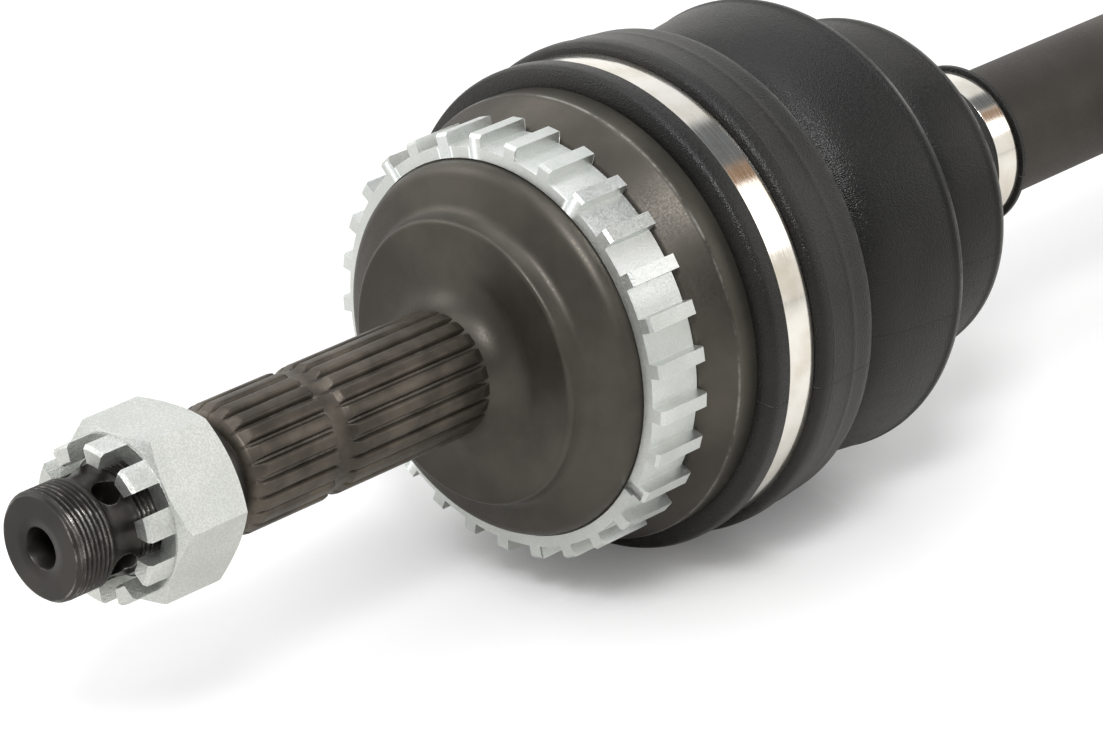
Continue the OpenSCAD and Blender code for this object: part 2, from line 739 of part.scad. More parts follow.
module inner_housing() {
    color([0.33, 0.32, 0.3]) difference() {
        union() {
            carried(housing_mouth, housing_back - 2) housing_outline();
            turned([[0, housing_floor - 1], [housing_waist_r + 2, housing_floor - 1],
                [housing_waist_r + 2, housing_back - 1], [journal_r + 5, housing_back + 2],
                [journal_r + 1.2, journal_start - 0.6], [journal_r, journal_start],
                [journal_r, journal_end - 0.8], [journal_r - 0.8, journal_end],
                [gear_tip_r + 1, journal_end], [gear_root_r, journal_end + 1.4],
                [gear_root_r, gear_end - 1.6], [gear_root_r - 1.4, gear_end], [0, gear_end]]);
            intersection() {
                carried(gear_start, gear_end)
                    spline_outline(gear_teeth, gear_tip_r, gear_root_r, 90);
                turned([[0, gear_start], [gear_root_r, gear_start], [gear_tip_r + tiny, gear_start + 1.4],
                    [gear_tip_r + tiny, gear_end - 3.2], [gear_root_r - 0.4, gear_end - 1.4],
                    [0, gear_end - 1.4]]);
            }
        }
        carried(housing_mouth - 1, housing_floor) lobes(track_in_r, housing_core_r);
        turned([[0, housing_mouth - 1], [mouth_cone_r + 0.4, housing_mouth - 1],
            [housing_core_r, housing_mouth + mouth_cone_l], [0, housing_mouth + mouth_cone_l]]);
        ring(gear_end - 7, gear_end - 7 + clip_w, gear_tip_r - clip_depth, journal_r);
    }
}

module boot_bush() {
    color([0.2, 0.2, 0.21]) carried(housing_mouth + 0.6, housing_mouth + 0.6 + bush_l) difference() {
        circle(bush_r);
        offset(delta = fit) housing_outline();
    }
}

outer_bell();
tone_ring();
castle_nut();
outer_inner_race();
outer_cage();
upper_ball();
side_balls();
lower_ball();
race_circlip();
outer_boot();
outer_large_clamp();
outer_small_clamp();
shaft_bar();
tripod_spider();
spider_circlip();
upper_roller();
front_roller();
rear_roller();
upper_needles();
front_needles();
rear_needles();
roller_retainers();
inner_housing();
boot_bush();
inner_boot();
inner_large_clamp();
inner_small_clamp();
gearbox_circlip();
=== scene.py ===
"""Front-wheel drive shaft on a pale studio floor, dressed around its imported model."""

import logging
import math
from dataclasses import dataclass, field
from enum import Enum

import bpy
import numpy as np
from mathutils import Matrix, Vector


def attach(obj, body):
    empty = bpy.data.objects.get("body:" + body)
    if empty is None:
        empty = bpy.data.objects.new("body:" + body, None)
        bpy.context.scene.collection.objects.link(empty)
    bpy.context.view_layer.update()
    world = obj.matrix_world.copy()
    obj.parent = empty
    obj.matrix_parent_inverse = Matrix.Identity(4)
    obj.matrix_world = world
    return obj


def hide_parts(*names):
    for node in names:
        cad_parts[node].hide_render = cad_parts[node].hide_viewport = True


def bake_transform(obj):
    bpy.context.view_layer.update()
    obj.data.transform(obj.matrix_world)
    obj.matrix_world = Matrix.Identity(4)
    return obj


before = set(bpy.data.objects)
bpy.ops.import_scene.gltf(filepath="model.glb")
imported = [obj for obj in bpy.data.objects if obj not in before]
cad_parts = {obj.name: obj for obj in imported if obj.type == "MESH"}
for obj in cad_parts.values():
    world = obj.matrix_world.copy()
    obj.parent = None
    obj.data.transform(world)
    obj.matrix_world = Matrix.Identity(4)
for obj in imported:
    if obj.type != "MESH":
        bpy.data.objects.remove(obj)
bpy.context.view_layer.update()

MM = 0.001
LOG = logging.getLogger("drive_shaft")

# Angles in degrees above which an edge of such a surface stays sharp
SHARP_THREAD = 50.0
SHARP_MOULDED = 50.0
SHARP_TURNED = 40.0
SHARP_TEETH = 30.0

Pair = tuple[float, float]
Triple = tuple[float, float, float]
Colour = Triple
MeshData = tuple[np.ndarray, list[tuple[int, ...]]]
Socket = bpy.types.NodeSocket


class Body(Enum):
    """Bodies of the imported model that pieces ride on."""

    BAR = "bar"
    UPPER_BALL = "upper_ball_body"
    CAGE = "cage"
    LOWER_BALL = "lower_ball_body"
    BELL = "bell"
    UPPER_ROLLER = "upper_roller_body"
    INNER_BOOT = "inner_boot_body"
    HOUSING = "housing"


class Slot(Enum):
    """Material slots of the record."""

    PHOSPHATE = "phosphated_steel"
    ZINC_RING = "zinc_ring"
    BAND = "stainless_band"
    RUBBER = "boot_rubber"


# Node trees


class Graph:
    """A node tree that is filled node by node."""

    def __init__(self, tree: bpy.types.NodeTree) -> None:
        """Takes an empty node tree."""
        self.tree = tree

    def add(self, kind: str, values: dict[str | int, object] | None = None,
            **settings: object) -> bpy.types.Node:
        """Adds one node.

        Args:
            kind: Blender's name of the node type.
            values: socket name or number to a constant, or to an output socket that is linked.
            settings: attributes of the node, such as operation.

        Returns:
            The new node.
        """
        node = self.tree.nodes.new(kind)
        for name, value in settings.items():
            setattr(node, name, value)
        for key, value in (values or {}).items():
            if isinstance(value, Socket):
                self.link(value, node.inputs[key])
            else:
                node.inputs[key].default_value = value
        return node

    def link(self, value: Socket, socket: Socket) -> None:
        """Links an output socket to an input socket."""
        self.tree.links.new(value, socket)

    def effect(self, tree: bpy.types.NodeTree, values: dict[str, float]) -> bpy.types.Node:
        """Places a shared effect.

        Args:
            tree: the effect's node group.
            values: name of each input to this material's own value.

        Returns:
            The group's node.
        """
        node = self.add("ShaderNodeGroup")
        node.node_tree = tree
        for key, value in values.items():
            node.inputs[key].default_value = value
        return node

    def relief(self, body: bpy.types.Node, height: Socket, strength: float, depth: float) -> None:
        """Gives a shader a bumped normal.

        Args:
            body: the shader.
            height: the socket of the height.
            strength: the bump's strength.
            depth: its depth in metres.
        """
        bump = self.add("ShaderNodeBump", {"Height": height, "Strength": strength, "Distance": depth})
        self.link(bump.outputs[0], body.inputs["Normal"])

    def place(self) -> Socket:
        """The point's place in the object's own coordinates, in metres."""
        return self.add("ShaderNodeTexCoord").outputs["Object"]

    def noise(self, scale: object, detail: float, rough: float, place: Socket) -> Socket:
        """A cloudy pattern.

        Args:
            scale: patches per metre.
            detail: how many finer layers are added.
            rough: strength of each finer layer.
            place: coordinates the pattern is laid on.

        Returns:
            The output socket.
        """
        values = {"Vector": place, "Scale": scale, "Detail": detail, "Roughness": rough}
        return self.add("ShaderNodeTexNoise", values).outputs[0]

    def toward(self, place: Socket, way: Triple) -> Socket:
        """How far a vector points in a direction, as a dot product.

        Args:
            place: the vector's socket.
            way: the direction.

        Returns:
            The output socket.
        """
        return self.add("ShaderNodeVectorMath", {0: place, 1: way}, operation="DOT_PRODUCT").outputs["Value"]

    def math(self, operation: str, a: object, b: object = 0.0, clamp: bool = False) -> Socket:
        """A Math node's result.

        Args:
            operation: the node's operation.
            a: first value or socket.
            b: second value or socket.
            clamp: keeps the result between 0 and 1.

        Returns:
            The output socket.
        """
        return self.add("ShaderNodeMath", {0: a, 1: b}, operation=operation, use_clamp=clamp).outputs[0]

    def spread(self, value: object, low: float, high: float, to_low: float = 0.0,
               to_high: float = 1.0) -> Socket:
        """Maps a value from one range to another, smoothly and clamped.

        Args:
            value: the socket to map.
            low: start of the range that is read.
            high: end of the range that is read.
            to_low: result at low.
            to_high: result at high.

        Returns:
            The output socket.
        """
        keys = {"Value": value, "From Min": low, "From Max": high, "To Min": to_low, "To Max": to_high}
        return self.add("ShaderNodeMapRange", keys, interpolation_type="SMOOTHSTEP").outputs["Result"]

    def mix(self, factor: object, a: object, b: object) -> Socket:
        """A mix of two colours.

        Args:
            factor: share of the second colour.
            a: first colour or socket.
            b: second colour or socket.

        Returns:
            The output socket.
        """
        node = self.tree.nodes.new("ShaderNodeMix")
        node.data_type = "RGBA"
        for socket, value in ((node.inputs[0], factor), (node.inputs[6], a), (node.inputs[7], b)):
            if isinstance(value, Socket):
                self.link(value, socket)
            elif isinstance(value, tuple):
                socket.default_value = (*value, 1.0)
            else:
                socket.default_value = value
        return node.outputs[2]


def new_group(name: str, inputs: dict[str, float], output: str) -> tuple[Graph, bpy.types.Node, Socket]:
    """Makes an empty shader node group.

    Args:
        name: the group's name.
        inputs: name of each input to its default value.
        output: name of its one output.

    Returns:
        The graph, its input node and the socket that takes the result.
    """
    tree = bpy.data.node_groups.new(name, "ShaderNodeTree")
    for key, value in inputs.items():
        socket = tree.interface.new_socket(key, in_out="INPUT", socket_type="NodeSocketFloat")
        socket.default_value = value
    tree.interface.new_socket(output, in_out="OUTPUT", socket_type="NodeSocketFloat")
    read, write = tree.nodes.new("NodeGroupInput"), tree.nodes.new("NodeGroupOutput")
    return Graph(tree), read, write.inputs[output]


class Effects:
    """Shader node groups that several finishes use."""

    def __init__(self) -> None:
        """Builds each group once."""
        self.grain = self._grain()
        self.turning = self._turning()
        self.wear = self._wear()
        self.stain = self._stain()
        # Thin line mask: a rubbed edge on the bell, and a painted highlight on the boot's crests.
        self.rubbed = self._wear_and_sheen_line()

    @staticmethod
    def _grain() -> bpy.types.NodeTree:
        """Fine cells, such as moulded grain or frosted plating.

        Returns:
            The group. Scale is in cells per metre.
        """
        graph, read, write = new_group("fine_grain", {"Scale": 900.0, "Cells": 0.5}, "Height")
        place = graph.place()
        noise = graph.noise(read.outputs["Scale"], 3.0, 0.6, place)
        values = {"Vector": place, "Scale": read.outputs["Scale"]}
        cells = graph.add("ShaderNodeTexVoronoi", values, feature="SMOOTH_F1").outputs["Distance"]
        share = read.outputs["Cells"]
        rest = graph.math("MULTIPLY", noise, graph.math("SUBTRACT", 1.0, share))
        graph.link(graph.math("ADD", graph.math("MULTIPLY", cells, share), rest), write)
        return graph.tree

    @staticmethod
    def _turning() -> bpy.types.NodeTree:
        """Fine rings round the shaft that a lathe leaves.

        Returns:
            The group. Scale is in rings per metre.
        """
        graph, read, write = new_group("turning_marks", {"Scale": 1500.0}, "Height")
        along, left, up = graph.add("ShaderNodeSeparateXYZ", {0: graph.place()}).outputs
        across = graph.math("ADD", graph.math("POWER", left, 2.0), graph.math("POWER", up, 2.0))
        path = graph.math("ADD", graph.math("MULTIPLY", along, 0.83), graph.math("SQRT", across))
        values = {"W": graph.math("MULTIPLY", path, read.outputs["Scale"]), "Scale": 1.0, "Detail": 2.0}
        graph.link(graph.add("ShaderNodeTexNoise", values, noise_dimensions="1D").outputs[0], write)
        return graph.tree

    @staticmethod
    def _wear() -> bpy.types.NodeTree:
        """Mask of rubbed edges, broken up by noise.

        Returns:
            The group. Radius is in metres.
        """
        graph, read, write = new_group("edge_wear", {"Radius": 0.0004, "Amount": 0.5}, "Mask")
        soft = graph.add("ShaderNodeBevel", {"Radius": read.outputs["Radius"]}, samples=4)
        normals = {0: soft.outputs[0], 1: graph.add("ShaderNodeNewGeometry").outputs["Normal"]}
        dot = graph.add("ShaderNodeVectorMath", normals, operation="DOT_PRODUCT").outputs["Value"]
        bend = graph.spread(graph.math("SUBTRACT", 1.0, dot), 0.01, 0.12)
        broken = graph.spread(graph.noise(160.0, 4.0, 0.7, graph.place()), 0.42, 0.62)
        worn = graph.math("MULTIPLY", bend, broken)
        graph.link(graph.math("MULTIPLY", worn, read.outputs["Amount"]), write)
        return graph.tree

    @staticmethod
    def _stain() -> bpy.types.NodeTree:
        """Broad cloudy patches, such as oil or uneven coating.

        Returns:
            The group. Scale is in patches per metre.
        """
        graph, read, write = new_group("stain", {"Scale": 40.0}, "Mask")
        clouds = graph.noise(read.outputs["Scale"], 5.0, 0.55, graph.place())
        graph.link(graph.spread(clouds, 0.35, 0.68), write)
        return graph.tree

    @staticmethod
    def _wear_and_sheen_line() -> bpy.types.NodeTree:
        """Mask of a thin broken line round the shaft: a rubbed edge on the bell, and a painted highlight
        along the boot's crests.

        Returns:
            The group. At, the line's place along the shaft, and Width are in metres.
        """
        graph, read, write = new_group("wear_and_sheen_mask", {"At": 0.0, "Width": 0.0005, "Amount": 0.5}, "Mask")
        place = graph.place()
        along = graph.add("ShaderNodeSeparateXYZ", {0: place}).outputs[0]
        off = graph.math("ABSOLUTE", graph.math("SUBTRACT", along, read.outputs["At"]))
        share = graph.math("DIVIDE", off, read.outputs["Width"])
        line = graph.spread(graph.math("SUBTRACT", 1.0, share, clamp=True), 0.0, 1.0)
        broken = graph.spread(graph.noise(55.0, 5.0, 0.75, place), 0.4, 0.62)
        broken = graph.math("MULTIPLY", broken, read.outputs["Amount"])
        graph.link(graph.math("MULTIPLY", line, broken), write)
        return graph.tree


def shader(name: str) -> tuple[bpy.types.Material, Graph, bpy.types.Node]:
    """Makes a material with one Principled BSDF.

    Args:
        name: the material's name.

    Returns:
        The material, its graph and its shader node.
    """
    material = bpy.data.materials.new(name)
    material.use_nodes = True
    material.node_tree.nodes.clear()
    graph = Graph(material.node_tree)
    body = graph.add("ShaderNodeBsdfPrincipled")
    graph.add("ShaderNodeOutputMaterial", {"Surface": body.outputs[0]})
    return material, graph, body


# Finishes


@dataclass(frozen=True)
class CoatedSteel:
    """Steel under a dark phosphate coat: cloudy, faintly ringed by the lathe and rubbed bright on its edges.

    worn_x is the place along the shaft, in metres, of one edge that is rubbed all round.
    """

    name: str
    dark: Colour
    light: Colour
    bare: Colour = (0.5, 0.48, 0.45)
    metallic: float = 0.75
    rough: Pair = (0.36, 0.5)
    rings: float = 0.25
    grit: float = 0.25
    wear: float = 0.8
    stain_scale: float = 45.0
    worn_x: float = -1.0

    def build(self, effects: Effects) -> bpy.types.Material:
        """The material, built with the shared effects."""
        material, graph, body = shader(self.name)
        stain = graph.effect(effects.stain, {"Scale": self.stain_scale})
        grain = graph.effect(effects.grain, {"Scale": 2600.0, "Cells": 0.2})
        rings = graph.effect(effects.turning, {"Scale": 1900.0})
        wear = graph.effect(effects.wear, {"Radius": 0.00045, "Amount": self.wear})
        coat = graph.mix(stain.outputs["Mask"], self.dark, self.light)
        edge = graph.effect(effects.rubbed, {"At": self.worn_x, "Width": 0.00045, "Amount": 0.5})
        coat = graph.mix(edge.outputs["Mask"], coat, self.bare)
        body.inputs["Metallic"].default_value = self.metallic
        graph.link(graph.mix(wear.outputs["Mask"], coat, self.bare), body.inputs["Base Color"])
        gloss = graph.spread(grain.outputs["Height"], 0.3, 0.7, *self.rough)
        worn = graph.math("SUBTRACT", gloss, graph.math("MULTIPLY", wear.outputs["Mask"], 0.12))
        graph.link(worn, body.inputs["Roughness"])
        height = graph.math("ADD", graph.math("MULTIPLY", rings.outputs["Height"], self.rings),
                            graph.math("MULTIPLY", grain.outputs["Height"], self.grit))
        graph.relief(body, height, 0.35, 0.00006)
        return material


@dataclass(frozen=True)
class ZincPlate:
    """Silvery zinc with a frosted grain and dull patches."""

    name: str
    bright: Colour
    dull: Colour
    rough: Pair = (0.24, 0.42)
    grain_scale: float = 1500.0
    grain_depth: float = 0.4
    frost: float = 0.3
    shade: Colour = (0.5, 0.51, 0.46)
    edge: Colour = (0.95, 0.95, 0.94)

    def build(self, effects: Effects) -> bpy.types.Material:
        """The material, built with the shared effects."""
        material, graph, body = shader(self.name)
        stain = graph.effect(effects.stain, {"Scale": 95.0})
        grain = graph.effect(effects.grain, {"Scale": self.grain_scale, "Cells": 0.55})
        wear = graph.effect(effects.wear, {"Radius": 0.0003, "Amount": 0.8})
        face = graph.mix(stain.outputs["Mask"], self.bright, self.dull)
        face = graph.mix(graph.spread(grain.outputs["Height"], 0.3, 0.6, self.frost, 0.0), face, self.shade)
        graph.link(graph.mix(wear.outputs["Mask"], face, self.edge), body.inputs["Base Color"])
        body.inputs["Metallic"].default_value = 1.0
        graph.link(graph.spread(grain.outputs["Height"], 0.25, 0.65, *self.rough), body.inputs["Roughness"])
        graph.relief(body, grain.outputs["Height"], self.grain_depth, 0.00012)
        return material


@dataclass(frozen=True)
class MouldedRubber:
    """Black rubber or plastic with a fine leathery grain, faint bloom, and lighter crest lines that are
    partly scuffs and partly a painted highlight.

    The crest lines, scuffs with a painted highlight, are places along the shaft, in metres. The parting angle
    is in degrees.
    """

    name: str
    dark: Colour = (0.003, 0.0028, 0.0025)
    bloom: Colour = (0.013, 0.012, 0.0105)
    rough: Pair = (0.26, 0.4)
    shine: float = 0.36
    grain_scale: float = 3600.0
    grain_depth: float = 0.7
    fine_scale: float = 0.37
    fine_share: float = 0.25
    parting: float = 186.0
    seam_w: float = 0.00022
    seam_h: float = 1.6
    # Colour and places of the lighter crest lines: partly scuffed rubber, partly a painted highlight.
    crest_scuff_and_sheen: Colour = (0.2, 0.195, 0.185)
    crest_scuff_and_sheen_places: tuple[float, ...] = (0.1612, 0.1896, 0.2152)

    def build(self, effects: Effects) -> bpy.types.Material:
        """The material, built with the shared effects."""
        material, graph, body = shader(self.name)
        stain = graph.effect(effects.stain, {"Scale": 30.0})
        coarse = graph.effect(effects.grain, {"Scale": self.grain_scale, "Cells": 0.75})
        fine = graph.effect(effects.grain, {"Scale": self.grain_scale * self.fine_scale, "Cells": 0.5})
        body.inputs["Specular IOR Level"].default_value = self.shine
        face = graph.mix(stain.outputs["Mask"], self.dark, self.bloom)
        # Lighter lines along the crests, partly scuffs and partly a painted highlight.
        for at in self.crest_scuff_and_sheen_places:
            edge = graph.effect(effects.rubbed, {"At": at, "Width": 0.0011, "Amount": 0.8})
            face = graph.mix(edge.outputs["Mask"], face, self.crest_scuff_and_sheen)
        graph.link(face, body.inputs["Base Color"])
        fine_height = graph.math("MULTIPLY", fine.outputs["Height"], self.fine_share)
        height = graph.math("ADD", coarse.outputs["Height"], fine_height)
        height = graph.math("ADD", height, self._parting_line(graph))
        graph.link(graph.spread(height, 0.3, 0.8, *self.rough), body.inputs["Roughness"])
        graph.relief(body, height, self.grain_depth, 0.0002)
        return material

    def _parting_line(self, graph: Graph) -> Socket:
        """Height of the faint seam that the two halves of the mould leave.

        Args:
            graph: the material's graph.

        Returns:
            Socket of the height, which is above 0 only in the plane at the parting angle.
        """
        a = math.radians(self.parting)
        off = graph.toward(graph.place(), (0.0, -math.sin(a), math.cos(a)))
        return graph.spread(graph.math("ABSOLUTE", off), 0.0, self.seam_w, self.seam_h, 0.0)


@dataclass(frozen=True)
class PolishedSteel:
    """Bright steel: polished band, ground race or bearing surface."""

    name: str
    colour: Colour
    tarnish: Colour
    rough: Pair = (0.05, 0.14)
    brushed: float = 0.15

    def build(self, effects: Effects) -> bpy.types.Material:
        """The material, built with the shared effects."""
        material, graph, body = shader(self.name)
        stain = graph.effect(effects.stain, {"Scale": 110.0})
        rings = graph.effect(effects.turning, {"Scale": 3200.0})
        graph.link(graph.mix(stain.outputs["Mask"], self.colour, self.tarnish), body.inputs["Base Color"])
        body.inputs["Metallic"].default_value = 1.0
        graph.link(graph.spread(rings.outputs["Height"], 0.3, 0.7, *self.rough), body.inputs["Roughness"])
        graph.relief(body, rings.outputs["Height"], self.brushed, 0.00002)
        return material


class Shelf:
    """All the finishes, built once and handed out by name."""

    def __init__(self) -> None:
        """Builds the shared effects and every finish."""
        effects = Effects()
        finishes = {
            "bell": CoatedSteel("bell_phosphate", (0.058, 0.052, 0.044), (0.092, 0.083, 0.07), wear=0.5,
                                worn_x=0.1284),
            "rim": CoatedSteel("bell_rim_olive", (0.075, 0.07, 0.058), (0.105, 0.098, 0.08), rings=0.5),
            "thread": CoatedSteel("thread_phosphate", (0.03, 0.028, 0.026), (0.05, 0.046, 0.042), rings=0.0,
                                  wear=1.0, rough=(0.3, 0.44)),
            "spline": CoatedSteel("spline_phosphate", (0.06, 0.051, 0.042), (0.12, 0.103, 0.083), rings=0.1,
                                  wear=0.3, rough=(0.34, 0.5), stain_scale=120.0),
            "bar": CoatedSteel("bar_coat", (0.034, 0.029, 0.024), (0.062, 0.052, 0.043), rings=0.15,
                               metallic=0.5, rough=(0.48, 0.62), wear=0.5, stain_scale=28.0),
            "housing": CoatedSteel("housing_phosphate", (0.05, 0.046, 0.04), (0.08, 0.074, 0.064), grit=0.5),
            "ring": ZincPlate("ring_zinc", (0.78, 0.8, 0.785), (0.68, 0.71, 0.69), rough=(0.34, 0.48),
                              grain_scale=2600.0, grain_depth=0.35, frost=0.25),
            "nut": ZincPlate("nut_zinc", (0.76, 0.775, 0.755), (0.68, 0.7, 0.68), rough=(0.36, 0.52),
                             grain_scale=3000.0, grain_depth=0.9, frost=0.6),
            "rubber": MouldedRubber("boot_rubber"),
            "bush": MouldedRubber("bush_plastic", rough=(0.4, 0.55), grain_scale=1500.0, grain_depth=0.2,
                                  crest_scuff_and_sheen_places=()),
            "band": PolishedSteel("band_stainless", (0.98, 0.95, 0.89), (0.8, 0.75, 0.66),
                                  rough=(0.07, 0.17)),
            "race": PolishedSteel("race_ground", (0.5, 0.5, 0.49), (0.38, 0.37, 0.35), rough=(0.22, 0.36)),
            "ball": PolishedSteel("ball_polished", (0.75, 0.76, 0.77), (0.68, 0.69, 0.7), rough=(0.06, 0.12)),
            "spring": PolishedSteel("spring_oiled", (0.24, 0.24, 0.25), (0.16, 0.16, 0.16),
                                    rough=(0.3, 0.42)),
        }
        self._made = {key: finish.build(effects) for key, finish in finishes.items()}

    def get(self, key: str) -> bpy.types.Material:
        """The material of that name."""
        return self._made[key]


# Meshes


def loft(rows: np.ndarray, close_rows: bool = False) -> MeshData:
    """Joins closed loops of equal count with quads.

    Args:
        rows: array of loops, rows by points by 3, in millimetres.
        close_rows: joins the last loop to the first. Else both are filled, each with a fan to its centre.

    Returns:
        The points and the faces.
    """
    count, around = rows.shape[:2]
    points = rows.reshape(-1, 3)
    faces: list[tuple[int, ...]] = []
    for i in range(count if close_rows else count - 1):
        a, b = i * around, ((i + 1) % count) * around
        faces += [(a + j, a + (j + 1) % around, b + (j + 1) % around, b + j) for j in range(around)]
    if not close_rows:
        points = np.vstack([points, rows[0].mean(0), rows[-1].mean(0)])
        first, last, tail = len(points) - 2, len(points) - 1, (count - 1) * around
        faces += [(first, (j + 1) % around, j) for j in range(around)]
        faces += [(last, tail + j, tail + (j + 1) % around) for j in range(around)]
    return points, faces


def circles(profile: list[Pair], around: int = 192) -> np.ndarray:
    """Loops round the shaft for the points of a profile.

    Args:
        profile: (x, radius) of each loop, in millimetres.
        around: points in a loop.

    Returns:
        Array of loops.
    """
    line = np.array(profile)
    turn = np.linspace(0, 2 * math.pi, around, endpoint=False)
    return swept(line[:, 0], line[:, 1:], turn)


def swept(x: np.ndarray, r: np.ndarray, turn: np.ndarray) -> np.ndarray:
    """Loops round the shaft.

    Args:
        x: place of each loop along the shaft.
        r: radius, by loop and by angle or by loop alone.
        turn: the angles of a loop's points.

    Returns:
        Array of loops.
    """
    return np.stack([x[:, None] + 0 * turn, r * np.cos(turn), r * np.sin(turn)], -1)


def piece(name: str, data: MeshData, material: bpy.types.Material,
          sharp: float = 35.0) -> bpy.types.Object:
    """Makes an object from points in millimetres.

    Args:
        name: the piece's name.
        data: points and faces.
        material: its finish.
        sharp: angle in degrees above which an edge stays sharp.

    Returns:
        The new object, not yet riding on a body.
    """
    points, faces = data
    mesh = bpy.data.meshes.new(name)
    mesh.from_pydata((points * MM).tolist(), [], faces)
    mesh.validate()
    mesh.materials.append(material)
    mesh.shade_smooth()
    mesh.set_sharp_from_angle(angle=math.radians(sharp))
    obj = bpy.data.objects.new(name, mesh)
    bpy.context.scene.collection.objects.link(obj)
    LOG.info("piece %s: %d points", name, len(points))
    return obj


def cut(obj: bpy.types.Object, tool: bpy.types.Object) -> None:
    """Cuts one object out of another.

    Args:
        obj: the object that is cut.
        tool: the object that is cut out of it, which is then deleted.
    """
    step = obj.modifiers.new("cut", "BOOLEAN")
    step.operation, step.object, step.solver = "DIFFERENCE", tool, "EXACT"
    graph = bpy.context.evaluated_depsgraph_get()
    result = bpy.data.meshes.new_from_object(obj.evaluated_get(graph))
    obj.modifiers.clear()
    obj.data = result
    bpy.data.objects.remove(tool)


def eased(knots: list[Pair], step: float = 0.45, blur: float = 1.1) -> list[Pair]:
    """A moulded bellows line, with flanks that rise steeply out of a valley and drop off behind the crest.

    Args:
        knots: (x, radius) of the valleys and crests.
        step: distance between the points of the result.
        blur: how far valleys are rounded, in millimetres.

    Returns:
        Points along the line.
    """
    x = np.arange(knots[0][0], knots[-1][0] + step / 2, step)
    r = np.empty_like(x)
    for (x0, r0), (x1, r1) in zip(knots, knots[1:]):
        here = (x >= x0) & (x <= x1 + 1e-9)
        t = (x[here] - x0) / (x1 - x0)
        if r1 > r0:
            rise = 0.5 * (1 - np.exp(-t / 0.08)) + 0.5 * np.sin(t * math.pi / 2)
        else:
            rise = t ** 0.75
        r[here] = r0 + (r1 - r0) * rise
    reach = max(1, int(round(3 * blur / step)))
    kernel = np.exp(-0.5 * (np.arange(-reach, reach + 1) * step / blur) ** 2)
    soft = np.convolve(np.pad(r, reach, mode="edge"), kernel / kernel.sum(), mode="valid")
    return list(zip(x.tolist(), soft.tolist()))


# Sub-assemblies


